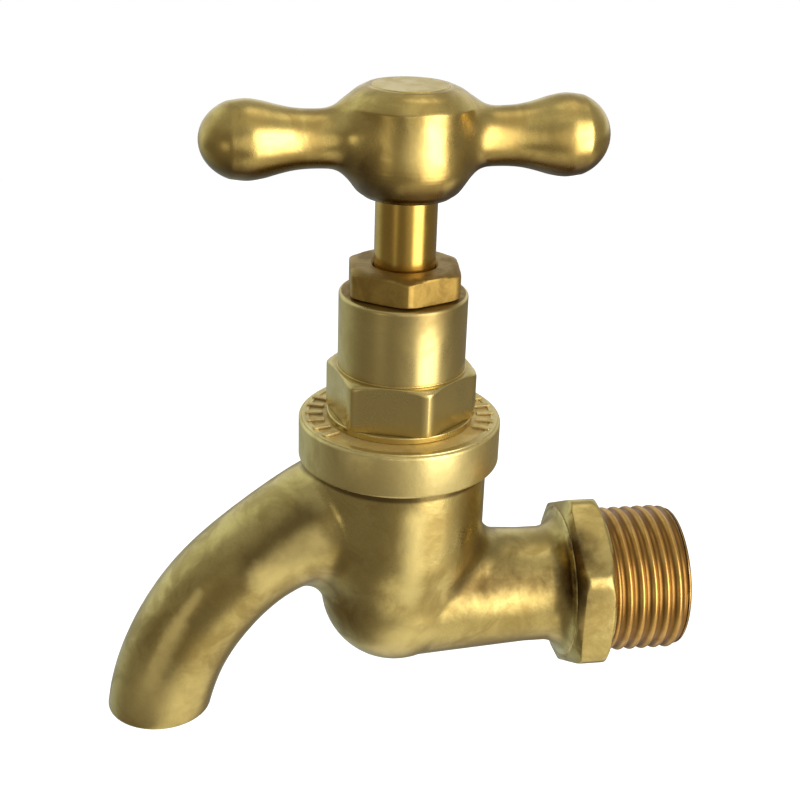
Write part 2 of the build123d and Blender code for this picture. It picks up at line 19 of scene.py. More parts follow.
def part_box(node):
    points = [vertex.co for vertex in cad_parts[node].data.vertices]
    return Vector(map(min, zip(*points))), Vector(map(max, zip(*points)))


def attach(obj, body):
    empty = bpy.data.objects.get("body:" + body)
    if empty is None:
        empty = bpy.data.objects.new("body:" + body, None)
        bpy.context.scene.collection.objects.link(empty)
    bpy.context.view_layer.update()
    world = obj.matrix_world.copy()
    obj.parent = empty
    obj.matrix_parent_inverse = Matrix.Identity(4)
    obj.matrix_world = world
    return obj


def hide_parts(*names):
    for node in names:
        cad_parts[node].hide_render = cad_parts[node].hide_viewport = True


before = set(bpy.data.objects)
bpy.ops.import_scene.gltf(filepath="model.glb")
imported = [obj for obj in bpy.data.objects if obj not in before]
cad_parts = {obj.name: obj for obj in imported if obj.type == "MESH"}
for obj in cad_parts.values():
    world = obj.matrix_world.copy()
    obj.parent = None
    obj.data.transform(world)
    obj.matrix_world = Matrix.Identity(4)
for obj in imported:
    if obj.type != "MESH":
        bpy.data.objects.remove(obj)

LOG = logging.getLogger("bib_tap")
MM = 0.001
CAST_SHARP_DEG = 32.0
TURNED_SHARP_DEG = 38.0
ROUNDING_STEPS = 6
ROUNDING_MOST = 0.45
ROUNDING_LEAST = 1e-6
FLAT_HOLD = 0.06
MERGE_M = 1e-7
PACKED_MERGE_M = 2e-7
SHADER_SAMPLES = 6
WHITE = (1.0, 1.0, 1.0, 1.0)
Colour = tuple[float, float, float]
Screen = tuple[int, int, int]
Range = tuple[float, float]
Finishes = dict[str, bpy.types.Material]


class Axis(Enum):
    """The line that a turned piece is worked out round."""

    SPINDLE = "spindle"
    INLET = "inlet"


# Shapes


@dataclass(frozen=True)
class Corner:
    """One corner of an outline: radius, height, how far it is rounded, and whether a hexagon cuts it."""

    radius: float
    height: float
    rounding: float = 0.0
    hexed: bool = False


@dataclass(frozen=True)
class Hexagon:
    """A hexagon with its corners turned down, as seen along its axis.

    Its radius at an angle is half the width across flats over the cosine of the angle from the nearest
    flat's middle, and blends smoothly into the turned corner's radius.
    """

    across_flats: float
    corner_radius: float
    flat_at_deg: float
    softness: float = 0.2
    per_side: int = 44
    crowding: float = 1.7

    def radius(self, angle: np.ndarray) -> np.ndarray:
        """Radius of the hexagon at each angle.

        Args:
            angle: Angles round its axis, in radians.

        Returns:
            Radii in millimetres.
        """
        sixth = math.pi / 3
        from_flat = np.mod(angle - math.radians(self.flat_at_deg) + sixth / 2, sixth) - sixth / 2
        flat = self.across_flats / 2 / np.cos(from_flat)
        return smooth_min(flat, np.full_like(flat, self.corner_radius), self.softness)

    def angles(self) -> np.ndarray:
        """Columns round the hexagon, crowded towards its corners by a power of the share of a side.

        Returns:
            Angles in radians, enough of them near each corner for its rounding.
        """
        even = np.linspace(-1.0, 1.0, self.per_side, endpoint=False)
        crowded = np.sign(even) * (1 - (1 - np.abs(even)) ** self.crowding)
        sides = np.arange(6) * 60.0
        degrees = self.flat_at_deg + sides[:, None] + 30.0 * crowded[None, :]
        return np.radians(degrees.ravel())


def smooth_min(first: np.ndarray, second: np.ndarray, width: float) -> np.ndarray:
    """The smaller of two values, with the change from one to the other rounded over a width.

    The blend is the weighted mean of the two, less the width times both weights, which is a parabola
    that touches both values.

    Args:
        first: One set of values.
        second: The other set.
        width: Difference at which the rounding starts.

    Returns:
        The blended values.
    """
    weight = np.clip(0.5 + 0.5 * (second - first) / width, 0.0, 1.0)
    return second * (1 - weight) + first * weight - width * weight * (1 - weight)


def smooth_step(value: np.ndarray) -> np.ndarray:
    """Rises from 0 to 1 as the value does, level at both ends."""
    held = np.clip(value, 0.0, 1.0)
    return held * held * (3 - 2 * held)


def rounded_loop(corners: Sequence[Corner]) -> np.ndarray:
    """A closed outline with its corners rounded.

    Each corner becomes a parabola between the two points that lie its rounding away from it, with one
    more point just outside each end, so that the flat beside it stays flat when it is shaded smooth.

    Args:
        corners: The outline's corners in order.

    Returns:
        Rows of radius, height and 1 where the hexagon cuts.
    """
    rows: list[list[float]] = []
    for index, corner in enumerate(corners):
        here = np.array([corner.radius, corner.height])
        before, after = corners[index - 1], corners[(index + 1) % len(corners)]
        back = np.array([before.radius, before.height]) - here
        ahead = np.array([after.radius, after.height]) - here
        back_length, ahead_length = float(np.hypot(*back)), float(np.hypot(*ahead))
        reach = min(corner.rounding, ROUNDING_MOST * back_length, ROUNDING_MOST * ahead_length)
        flag = float(corner.hexed)
        if reach < ROUNDING_LEAST:
            rows.append([here[0], here[1], flag])
            continue
        start = here + back / back_length * reach
        end = here + ahead / ahead_length * reach
        share = np.linspace(0.0, 1.0, ROUNDING_STEPS + 1)[:, None]
        points = list((1 - share) ** 2 * start + 2 * share * (1 - share) * here + share ** 2 * end)
        if back_length > 3 * (reach + FLAT_HOLD):
            points.insert(0, start + back / back_length * FLAT_HOLD)
        if ahead_length > 3 * (reach + FLAT_HOLD):
            points.append(end + ahead / ahead_length * FLAT_HOLD)
        rows.extend([point[0], point[1], flag] for point in points)
    return np.array(rows)


def turned_grid(loop: np.ndarray, angles: np.ndarray, hexagon: Hexagon | None) -> np.ndarray:
    """A turned piece on a grid: the outline carried round the axis.

    Where a row is marked, its radius is the smaller of the outline's and the hexagon's at that angle,
    so the piece is the part that the turned shape and the hexagonal bar share.

    Args:
        loop: The outline's rows.
        angles: Angles of the columns, in radians.
        hexagon: The bar's hexagon, or None for a round piece.

    Returns:
        Radius, angle and height by row and column.
    """
    radius = np.repeat(loop[:, :1], len(angles), axis=1)
    if hexagon is not None:
        cut = smooth_min(radius, hexagon.radius(angles)[None, :], hexagon.softness)
        radius = np.where(loop[:, 2:3] > 0.5, cut, radius)
    height = np.repeat(loop[:, 1:2], len(angles), axis=1)
    turn = np.repeat(angles[None, :], len(loop), axis=0)
    return np.stack([radius, turn, height], axis=-1)


def place_round(grid: np.ndarray, axis: Axis, spindle_y: float) -> np.ndarray:
    """Turns radius, angle and height into points, round the spindle or round the inlet.

    Args:
        grid: Radius, angle and height, in millimetres and radians.
        axis: The line to turn round.
        spindle_y: Where the spindle's line stands along Y.

    Returns:
        Points in millimetres, in the part's frame.
    """
    radius, turn, height = grid[..., 0], grid[..., 1], grid[..., 2]
    across = radius * np.cos(turn)
    other = radius * np.sin(turn)
    if axis is Axis.SPINDLE:
        return np.stack([across, other + spindle_y, height], axis=-1)
    return np.stack([across, height, other], axis=-1)


def outline_distance(across: np.ndarray, up: np.ndarray, outline: np.ndarray) -> np.ndarray:
    """Distance from each point to one side of a symmetrical outline, below zero inside it.

    It is the least distance to the outline's straight pieces. A point is inside when a line from it
    towards greater first numbers crosses the outline an odd number of times.

    Args:
        across: The points' first number, never below zero.
        up: The points' second number.
        outline: The side's corners in order, one per row, from one end to the other.

    Returns:
        Signed distances.
    """
    start, run = outline[:-1], np.diff(outline, axis=0)
    off_x = across[:, None] - start[:, 0]
    off_y = up[:, None] - start[:, 1]
    share = np.clip((off_x * run[:, 0] + off_y * run[:, 1]) / (run * run).sum(-1), 0.0, 1.0)
    distance = np.sqrt(((off_x - share * run[:, 0]) ** 2 + (off_y - share * run[:, 1]) ** 2).min(1))
    spans = (off_y < 0) != (off_y < run[:, 1])
    slope = run[:, 0] / np.where(run[:, 1] == 0, 1.0, run[:, 1])
    inside = (spans & (off_x < off_y * slope)).sum(1) % 2 == 1
    return np.where(inside, -distance, distance)


def smooth_curve(knots: Sequence[tuple[float, float]], steps: int) -> np.ndarray:
    """A smooth line through a few points, each stretch a cubic whose slopes come from its neighbours.

    Args:
        knots: The points that it passes through.
        steps: Number of pieces in one stretch.

    Returns:
        Points along the line, with the last knot at its end.
    """
    spots = np.array(knots, float)
    slopes = np.gradient(spots, axis=0)
    share = np.linspace(0.0, 1.0, steps, endpoint=False)[None, :, None]
    begin, finish = spots[:-1, None, :], spots[1:, None, :]
    leave, arrive = slopes[:-1, None, :], slopes[1:, None, :]
    curve = ((1 + 2 * share) * (1 - share) ** 2 * begin + share * (1 - share) ** 2 * leave
             + share ** 2 * (3 - 2 * share) * finish + share ** 2 * (share - 1) * arrive)
    return np.vstack([curve.reshape(-1, 2), spots[-1:]])


@contextmanager
def editing(mesh: bpy.types.Mesh) -> Iterator[bmesh.types.BMesh]:
    """Opens a mesh for a change and puts the result back.

    Args:
        mesh: The mesh.

    Yields:
        Its editable form.
    """
    work = bmesh.new()
    work.from_mesh(mesh)
    yield work
    work.to_mesh(mesh)
    work.free()


def shade(mesh: bpy.types.Mesh, sharp_deg: float) -> None:
    """Shades a mesh smooth, apart from edges that turn more than an angle."""
    mesh.shade_smooth()
    mesh.set_sharp_from_angle(angle=math.radians(sharp_deg))


def add_object(name: str, data: Any) -> bpy.types.Object:
    """Puts a new object that holds this data into the scene.

    Args:
        name: The object's name.
        data: Its mesh, lamp or camera.

    Returns:
        The object, at the origin.
    """
    thing = bpy.data.objects.new(name, data)
    bpy.context.scene.collection.objects.link(thing)
    return thing


def put_mesh(name: str, points: np.ndarray) -> bpy.types.Object:
    """Makes an object from a grid of points that is closed both ways.

    Doubled points are merged, and the faces are turned outwards.

    Args:
        name: The piece's name.
        points: Points in millimetres, by row and column.

    Returns:
        The object, at the origin, with its place in its mesh.
    """
    rows, columns = points.shape[:2]
    index = np.arange(rows * columns).reshape(rows, columns)
    right, below = np.roll(index, -1, axis=1), np.roll(index, -1, axis=0)
    corner = np.roll(right, -1, axis=0)
    faces = np.stack([index, right, corner, below], axis=-1).reshape(-1, 4)
    mesh = bpy.data.meshes.new(name)
    mesh.from_pydata((points.reshape(-1, 3) * MM).tolist(), [], faces.tolist())
    with editing(mesh) as work:
        bmesh.ops.remove_doubles(work, verts=work.verts, dist=MERGE_M)
        bmesh.ops.recalc_face_normals(work, faces=work.faces)
    shade(mesh, TURNED_SHARP_DEG)
    return add_object(name, mesh)


def merged_copy(node: str, name: str) -> bpy.types.Object:
    """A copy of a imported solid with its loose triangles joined, so that it shades smooth.

    Args:
        node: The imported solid's node.
        name: The copy's name.

    Returns:
        The copy.
    """
    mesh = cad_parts[node].data.copy()
    mesh.name = name
    with editing(mesh) as work:
        bmesh.ops.remove_doubles(work, verts=work.verts, dist=PACKED_MERGE_M)
    packed_normals = mesh.attributes.get("custom_normal")
    if packed_normals is not None:
        mesh.attributes.remove(packed_normals)
    shade(mesh, CAST_SHARP_DEG)
    return add_object(name, mesh)


def face_centres(mesh: bpy.types.Mesh) -> np.ndarray:
    """The middle of every face.

    Args:
        mesh: The mesh.

    Returns:
        One row of X, Y and Z in millimetres for each face.
    """
    centre = np.empty(len(mesh.polygons) * 3)
    mesh.polygons.foreach_get("center", centre)
    return centre.reshape(-1, 3) / MM


def dress(piece: bpy.types.Object, *materials: bpy.types.Material) -> None:
    """Gives a piece its materials. All its faces have the first one until give_faces says otherwise.

    Args:
        piece: The piece.
        materials: Its materials in order.
    """
    piece.data.materials.clear()
    for material in materials:
        piece.data.materials.append(material)


def give_faces(piece: bpy.types.Object, number: np.ndarray) -> None:
    """Gives each face of a piece the material of this number."""
    piece.data.polygons.foreach_set("material_index", number.astype(np.int32))


# Finishes


class Wiring:
    """Adds nodes to one node tree and joins them."""

    def __init__(self, tree: bpy.types.NodeTree) -> None:
        """Takes the tree that the nodes go into."""
        self.tree = tree

    def add(self, kind: str, inputs: dict[Any, Any] | None = None, **settings: Any) -> bpy.types.Node:
        """Adds a node.

        Args:
            kind: The node's type.
            inputs: A value, or another node's output, for each named or numbered input.
            settings: The node's own settings.

        Returns:
            The node.
        """
        node = self.tree.nodes.new(kind)
        for key, value in settings.items():
            setattr(node, key, value)
        for key, value in (inputs or {}).items():
            if isinstance(value, bpy.types.NodeSocket):
                self.tree.links.new(value, node.inputs[key])
            else:
                node.inputs[key].default_value = value
        return node

    def maths(self, operation: str, first: Any, second: Any = 0.0, clamp: bool = False) -> Any:
        """The result of one sum on two values."""
        node = self.add("ShaderNodeMath", {0: first, 1: second}, operation=operation, use_clamp=clamp)
        return node.outputs[0]

    def times(self, first: Any, second: Any) -> Any:
        """One value times another."""
        return self.maths("MULTIPLY", first, second)

    def plus(self, first: Any, second: Any) -> Any:
        """One value and another."""
        return self.maths("ADD", first, second)

    def vector(self, operation: str, first: Any, second: Any = (0.0, 0.0, 0.0)) -> Any:
        """The result of one sum on two vectors, which is a number for a dot product or a distance."""
        node = self.add("ShaderNodeVectorMath", {0: first, 1: second}, operation=operation)
        return node.outputs["Value" if operation in ("DOT_PRODUCT", "DISTANCE") else "Vector"]

    def parts(self, vector: Any) -> Any:
        """The three numbers of a vector, under the names X, Y and Z."""
        return self.add("ShaderNodeSeparateXYZ", {0: vector}).outputs

    def away(self, first: Any, second: Any) -> Any:
        """Distance from an axis, the root of the sum of the squares of the two numbers across it."""
        return self.maths("SQRT", self.plus(self.times(first, first), self.times(second, second)))

    def mix(self, share: Any, first: Any, second: Any) -> Any:
        """A colour between two colours."""
        node = self.add("ShaderNodeMix", {0: share, 6: first, 7: second}, data_type="RGBA")
        return node.outputs[2]

    def ramp(self, value: Any, low: float, high: float, to_low: float = 0.0, to_high: float = 1.0) -> Any:
        """A value carried smoothly from one range to another.

        Args:
            value: The value.
            low: Where the range starts.
            high: Where the range ends, which may be below its start.
            to_low: The result at the start and before it.
            to_high: The result at the end and past it.

        Returns:
            The result.
        """
        limits = {"From Min": low, "From Max": high, "To Min": to_low, "To Max": to_high}
        node = self.add("ShaderNodeMapRange", {"Value": value, **limits}, interpolation_type="SMOOTHSTEP")
        return node.outputs["Result"]

    def noise(self, place: Any, size: float, detail: float = 3.0, rough: float = 0.55) -> Any:
        """Noise whose lumps are about this many millimetres across."""
        shape = {"Scale": 1 / (size * MM), "Detail": detail, "Roughness": rough}
        return self.add("ShaderNodeTexNoise", {"Vector": place, **shape}).outputs["Fac"]

    def bump(self, height: Any, depth: float, normal: Any = None) -> Any:
        """A normal that leans with a height, where a height of 1 stands for this many millimetres."""
        under = {} if normal is None else {"Normal": normal}
        return self.add("ShaderNodeBump", {"Height": height, "Distance": depth * MM, **under}).outputs[0]

    def group(self, tree: bpy.types.NodeTree, inputs: dict[str, Any]) -> Any:
        """The outputs of a shared group, placed here with its own inputs."""
        return self.add("ShaderNodeGroup", inputs, node_tree=tree).outputs


def new_material(name: str) -> tuple[bpy.types.Material, Wiring]:
    """An empty node material.

    Args:
        name: The material's name.

    Returns:
        The material and its wiring.
    """
    material = bpy.data.materials.new(name)
    material.use_nodes = True
    material.node_tree.nodes.clear()
    return material, Wiring(material.node_tree)


class Socket(Enum):
    """What a group takes or gives through one socket."""

    VECTOR = "NodeSocketVector"
    NUMBER = "NodeSocketFloat"
    COLOUR = "NodeSocketColor"


def new_group(name: str, takes: dict[str, Socket], gives: dict[str, Socket]) -> tuple[Wiring, Any]:
    """Begins a shader group with its sockets.

    Args:
        name: The group's name.
        takes: Kind of each input by its name.
        gives: Kind of each output by its name.

    Returns:
        The group's wiring, and what it is given.
    """
    tree = bpy.data.node_groups.new(name, "ShaderNodeTree")
    for way, sockets in (("INPUT", takes), ("OUTPUT", gives)):
        for label, kind in sockets.items():
            tree.interface.new_socket(label, in_out=way, socket_type=kind.value)
    w = Wiring(tree)
    return w, w.add("NodeGroupInput").outputs


def rgba(colour: Colour) -> tuple[float, float, float, float]:
    """A colour with full opacity."""
    return (*colour, 1.0)


def from_screen(colour: Screen) -> tuple[float, float, float, float]:
    """A colour as it is seen on a screen, 0 to 255, made linear by the screen's own curve.

    Args:
        colour: Red, green and blue.

    Returns:
        The linear colour with full opacity.
    """
    share = np.array(colour) / 255
    linear = np.where(share <= 0.04045, share / 12.92, ((share + 0.055) / 1.055) ** 2.4)
    return (*linear.tolist(), 1.0)


@dataclass
class Effects:
    """Shader groups that several finishes share, each built once. Sizes are in millimetres."""

    swell_size: float = 3.0
    lump_size: float = 0.8
    lump_share: float = 0.5
    tooth_size: float = 0.2
    tooth_share: float = 0.09
    patch_swirl: float = 0.6
    patch_limits: Range = (0.36, 0.66)
    speck_size: float = 0.35
    speck_limits: Range = (0.42, 0.72)
    breakup_size: float = 1.3
    breakup_limits: Range = (0.35, 0.62)
    breakup_least: float = 0.25
    edge_limits: Range = (0.62, 0.30)
    hollow_limits: Range = (0.78, 0.35)
    ragged_size: float = 1.6
    ragged_share: float = 0.5
    ragged_limits: Range = (1.35, 0.35)
    ring_stretch: float = 60.0
    ring_wave: float = 0.18

    def __post_init__(self) -> None:
        """Builds all the groups."""
        self.grain = self._cast_grain()
        self.patches = self._patches()
        self.edges = self._edges_and_hollows()
        self.rings = self._tool_rings()
        self.painted_patch = self._painted_patch()

    def _cast_grain(self) -> bpy.types.NodeTree:
        """Sand-cast skin: soft swells and lumps, and a fine tooth.

        Returns:
            The group.
        """
        takes = {"Place": Socket.VECTOR, "Swell": Socket.NUMBER, "Tooth": Socket.NUMBER}
        w, given = new_group("cast_grain", takes, {"Height": Socket.NUMBER})
        swell = w.noise(given["Place"], self.swell_size, detail=2.0)
        lumps = w.noise(given["Place"], self.lump_size)
        tooth = w.noise(given["Place"], self.tooth_size, detail=4.0, rough=0.65)
        large = w.times(w.plus(swell, w.times(lumps, self.lump_share)), given["Swell"])
        small = w.times(w.times(tooth, self.tooth_share), given["Tooth"])
        w.add("NodeGroupOutput", {"Height": w.plus(large, small)})
        return w.tree

    def _patches(self) -> bpy.types.NodeTree:
        """Slow changes of tone from handling and heat, and fine specks between them.

        Returns:
            The group.
        """
        w, given = new_group("patches", {"Place": Socket.VECTOR, "Size": Socket.NUMBER},
                             {"Broad": Socket.NUMBER, "Speck": Socket.NUMBER})
        scale = w.maths("DIVIDE", 1 / MM, given["Size"])
        broad = w.add("ShaderNodeTexNoise", {"Vector": given["Place"], "Scale": scale, "Detail": 4.0,
                                             "Roughness": 0.6, "Distortion": self.patch_swirl})
        speck = w.noise(given["Place"], self.speck_size, detail=5.0, rough=0.7)
        w.add("NodeGroupOutput", {"Broad": w.ramp(broad.outputs["Fac"], *self.patch_limits),
                                  "Speck": w.ramp(speck, *self.speck_limits)})
        return w.tree

    def _edges_and_hollows(self) -> bpy.types.NodeTree:
        """Where an edge stands out and is rubbed, and where a corner is shut in, which gets dirt and painted
        shade.

        Returns:
            The group.
        """
        takes = {"Place": Socket.VECTOR, "Edge Reach": Socket.NUMBER, "Hollow Reach": Socket.NUMBER}
        w, given = new_group("edges_and_hollows", takes, {"Edge": Socket.NUMBER, "Hollow": Socket.NUMBER})
        inner = w.add("ShaderNodeAmbientOcclusion", {"Distance": given["Edge Reach"]}, inside=True,
                      only_local=True, samples=SHADER_SAMPLES)
        outer = w.add("ShaderNodeAmbientOcclusion", {"Distance": given["Hollow Reach"]},
                      only_local=True, samples=SHADER_SAMPLES)
        noise = w.noise(given["Place"], self.breakup_size, detail=4.0, rough=0.65)
        breakup = w.ramp(noise, *self.breakup_limits, self.breakup_least)
        rubbed = w.ramp(inner.outputs["AO"], *self.edge_limits)
        w.add("NodeGroupOutput", {"Edge": w.times(rubbed, breakup),
                                  "Hollow": w.ramp(outer.outputs["AO"], *self.hollow_limits)})
        return w.tree

    def _painted_patch(self) -> bpy.types.NodeTree:
        """A patch with a ragged edge, round a spot or along a short line of this run.

        Its share falls with the distance to the nearest point of the line over the reach, plus noise.

        Returns:
            The group.
        """
        takes = {"Place": Socket.VECTOR, "Spot": Socket.VECTOR, "Run": Socket.VECTOR,
                 "Reach": Socket.NUMBER}
        w, given = new_group("painted_patch", takes, {"Share": Socket.NUMBER})
        run = given["Run"]
        offset = w.vector("SUBTRACT", given["Place"], given["Spot"])
        squared = w.maths("MAXIMUM", w.vector("DOT_PRODUCT", run, run), 1e-12)
        share = w.maths("DIVIDE", w.vector("DOT_PRODUCT", offset, run), squared, True)
        nearest = w.add("ShaderNodeVectorMath", {0: run, "Scale": share}, operation="SCALE").outputs[0]
        near = w.maths("DIVIDE", w.vector("DISTANCE", offset, nearest), given["Reach"])
        speckle = w.noise(given["Place"], self.ragged_size, detail=4.0, rough=0.6)
        ragged = w.plus(near, w.times(speckle, self.ragged_share))
        w.add("NodeGroupOutput", {"Share": w.ramp(ragged, *self.ragged_limits)})
        return w.tree

    def _tool_rings(self) -> bpy.types.NodeTree:
        """Lathe marks: uneven rings along Z, and a regular wave of the tool's feed under them.

        Returns:
            The group.
        """
        w, given = new_group("tool_rings", {"Place": Socket.VECTOR, "Pitch": Socket.NUMBER},
                             {"Height": Socket.NUMBER})
        spot = w.parts(given["Place"])
        along = w.maths("DIVIDE", spot["Z"], w.times(given["Pitch"], MM))
        slow = w.add("ShaderNodeCombineXYZ", {"X": w.times(spot["X"], self.ring_stretch),
                                              "Y": w.times(spot["Y"], self.ring_stretch), "Z": along})
        uneven = w.add("ShaderNodeTexNoise", {"Vector": slow.outputs[0], "Scale": 0.5, "Detail": 3.0,
                                              "Roughness": 0.7})
        wave = w.times(w.maths("SINE", w.times(along, math.tau)), self.ring_wave)
        w.add("NodeGroupOutput", {"Height": w.plus(uneven.outputs["Fac"], wave)})
        return w.tree


class Tone(Enum):
    """What a painted patch turns to: painted shade or a painted highlight."""

    PAINTED_SHADE = "dirt"
    PAINTED_HIGHLIGHT = "rubbed"


@dataclass(frozen=True)
class Patch:
    """A painted patch of shade or highlight, in millimetres: its spot, reach, strength and tone, and how far
    it runs on.
    """

    spot: tuple[float, float, float]
    reach: float
    share: float
    tone: Tone = Tone.PAINTED_SHADE
    run: tuple[float, float, float] = (0.0, 0.0, 0.0)

    def mask(self, w: Wiring, painted_patch: bpy.types.NodeTree, place: Any) -> Any:
        """Where the patch lies.

        Args:
            w: The material's wiring.
            painted_patch: The shared group for a ragged patch.
            place: The point on the surface.

        Returns:
            A mask from 0 to the patch's strength.
        """
        spot, run = (tuple(value * MM for value in vector) for vector in (self.spot, self.run))
        patch = w.group(painted_patch, {"Place": place, "Spot": spot, "Run": run, "Reach": self.reach * MM})
        return w.times(patch["Share"], self.share)


@dataclass(frozen=True)
class Brass:
    """A brass surface, from raw casting to polish. Depths, reaches and places are in millimetres."""

    name: str
    colour: Screen
    shade: Screen
    worn_and_highlight: Screen
    grime_and_shade: Screen
    roughness: float
    cast_depth: float = 0.0
    swell: float = 1.0
    tooth: float = 1.0
    ring_depth: float = 0.0
    ring_pitch: float = 0.12
    ring_axis: Axis = Axis.SPINDLE
    patch_size: float = 6.0
    patch_share: float = 0.55
    speck_share: float = 0.22
    edge_share: float = 0.6
    edge_reach: float = 0.5
    # Hollows take dirt and painted shade.
    hollow_dirt_and_shade: float = 0.7
    hollow_reach: float = 1.6
    round_edges: float = 0.0
    # Painted shade under the piece and above a level; dirt and painted shade in a thread's groove.
    painted_underside_shade: float = 0.0
    painted_underside_limits: Range = (-0.12, -0.65)
    painted_shade_line_at: Range = (0.0, 0.0)
    painted_shade_line_share: float = 0.0
    groove_at: Range = (0.0, 0.0)
    groove_dirt_and_shade: float = 0.0
    groove_ends: Range = (0.5, 0.3)
    marks: tuple[Patch, ...] = ()
    patch_dulls: float = 0.10
    hollow_dulls: float = 0.14
    mark_dulls: float = 0.16
    edge_polishes: float = 0.07

    def build(self, effects: Effects) -> bpy.types.Material:
        """Builds the material.

        The colour is the brass, its shade in patches and specks, dirt and painted shade in hollows, painted
        shade under the piece and above a level, dirt and painted shade in a thread's groove, the marks of
        painted shade and painted highlight, and last the wear tone on edges. Patches, hollows and marks dull
        it, and edges are polished.

        Args:
            effects: The shared shader groups.

        Returns:
            The material.
        """
        material, w = new_material(self.name)
        place = w.add("ShaderNodeTexCoord").outputs["Object"]
        patches = w.group(effects.patches, {"Place": place, "Size": self.patch_size})
        edges = w.group(effects.edges, {"Place": place, "Edge Reach": self.edge_reach * MM,
                                        "Hollow Reach": self.hollow_reach * MM})
        shade_tone, worn_and_highlight, grime_and_shade = (from_screen(tone) for tone in (self.shade, self.worn_and_highlight, self.grime_and_shade))
        tone = w.times(patches["Broad"], self.patch_share)
        colour = w.mix(tone, from_screen(self.colour), shade_tone)
        colour = w.mix(w.times(patches["Speck"], self.speck_share), colour, shade_tone)
        hollow = w.times(edges["Hollow"], self.hollow_dirt_and_shade)
        for share in (hollow, *self._shade_and_dirt_masks(w, place)):
            colour = w.mix(share, colour, grime_and_shade)
        rough = w.plus(self.roughness, w.times(patches["Broad"], self.patch_dulls))
        rough = w.plus(rough, w.times(hollow, self.hollow_dulls))
        for mark in self.marks:
            share = mark.mask(w, effects.painted_patch, place)
            colour = w.mix(share, colour, grime_and_shade if mark.tone is Tone.PAINTED_SHADE else worn_and_highlight)
            rough = w.plus(rough, w.times(share, self.mark_dulls))
        edge = w.times(edges["Edge"], self.edge_share)
        colour = w.mix(edge, colour, worn_and_highlight)
        rough = w.maths("SUBTRACT", rough, w.times(edge, self.edge_polishes), True)
        shader = w.add("ShaderNodeBsdfPrincipled", {"Base Color": colour, "Roughness": rough,
                                                    "Metallic": 1.0,
                                                    "Normal": self._relief(w, place, effects)})
        w.add("ShaderNodeOutputMaterial", {"Surface": shader.outputs[0]})
        return material

    def _shade_and_dirt_masks(self, w: Wiring, place: Any) -> list[Any]:
        """Masks of painted shade under the piece and above a level, and of dirt and painted shade in a
        thread's groove, where it has them.

        Args:
            w: The material's wiring.
            place: The point on the surface.

        Returns:
            The masks.
        """
        masks = []
        if self.painted_underside_shade > 0:
            facing = w.parts(w.add("ShaderNodeTexCoord").outputs["Normal"])
            masks.append(w.ramp(facing["Z"], *self.painted_underside_limits, 0.0, self.painted_underside_shade))
        if self.painted_shade_line_share > 0:
            clear, full = self.painted_shade_line_at
            masks.append(w.ramp(w.parts(place)["Z"], clear * MM, full * MM, 0.0, self.painted_shade_line_share))
        if self.groove_dirt_and_shade > 0:
            spot = w.parts(place)
            crest, root = self.groove_at
            radius = w.away(spot["X"], spot["Z"])
            deep = w.ramp(radius, crest * MM, root * MM, 0.0, self.groove_dirt_and_shade)
            below, above = (root - under for under in self.groove_ends)
            masks.append(w.times(deep, w.ramp(radius, below * MM, above * MM)))
        return masks

    def _relief(self, w: Wiring, place: Any, effects: Effects) -> Any:
        """The surface's normal with its rounded edges, cast grain and tool rings.

        Args:
            w: The material's wiring.
            place: The point on the surface.
            effects: The shared shader groups.

        Returns:
            The normal.
        """
        normal = None
        if self.round_edges > 0:
            bevel = w.add("ShaderNodeBevel", {"Radius": self.round_edges * MM}, samples=SHADER_SAMPLES)
            normal = bevel.outputs[0]
        if self.cast_depth > 0:
            grain = w.group(effects.grain, {"Place": place, "Swell": self.swell, "Tooth": self.tooth})
            normal = w.bump(grain["Height"], self.cast_depth, normal)
        if self.ring_depth > 0:
            turn = (math.radians(-90), 0, 0) if self.ring_axis is Axis.INLET else (0, 0, 0)
            aim = w.add("ShaderNodeMapping", {"Vector": place, "Rotation": turn})
            rings = w.group(effects.rings, {"Place": aim.outputs[0], "Pitch": self.ring_pitch})
            normal = w.bump(rings["Height"], self.ring_depth, normal)
        return normal


@dataclass(frozen=True)
class Seal:
    """A washer or packing: a dull material with flecks. Sizes are in millimetres."""

    name: str
    colour: Screen
    fleck: Screen
    roughness: float
    fleck_size: float
    depth: float
    fleck_limits: Range = (0.4, 0.62)
    rough_limits: Range = (0.3, 0.7)
    rough_spread: float = 0.1

    def build(self, effects: Effects) -> bpy.types.Material:
        """Builds the material, a mix of two tones with a fine uneven face.

        Args:
            effects: The shared shader groups, which a seal has no need of.

        Returns:
            The material.
        """
        material, w = new_material(self.name)
        place = w.add("ShaderNodeTexCoord").outputs["Object"]
        fleck = w.noise(place, self.fleck_size, detail=5.0, rough=0.7)
        share = w.ramp(fleck, *self.fleck_limits)
        colour = w.mix(share, from_screen(self.colour), from_screen(self.fleck))
        rough = w.ramp(fleck, *self.rough_limits, self.roughness, self.roughness + self.rough_spread)
        shader = w.add("ShaderNodeBsdfPrincipled", {"Base Color": colour, "Roughness": rough,
                                                    "Normal": w.bump(fleck, self.depth)})
        w.add("ShaderNodeOutputMaterial", {"Surface": shader.outputs[0]})
        return material


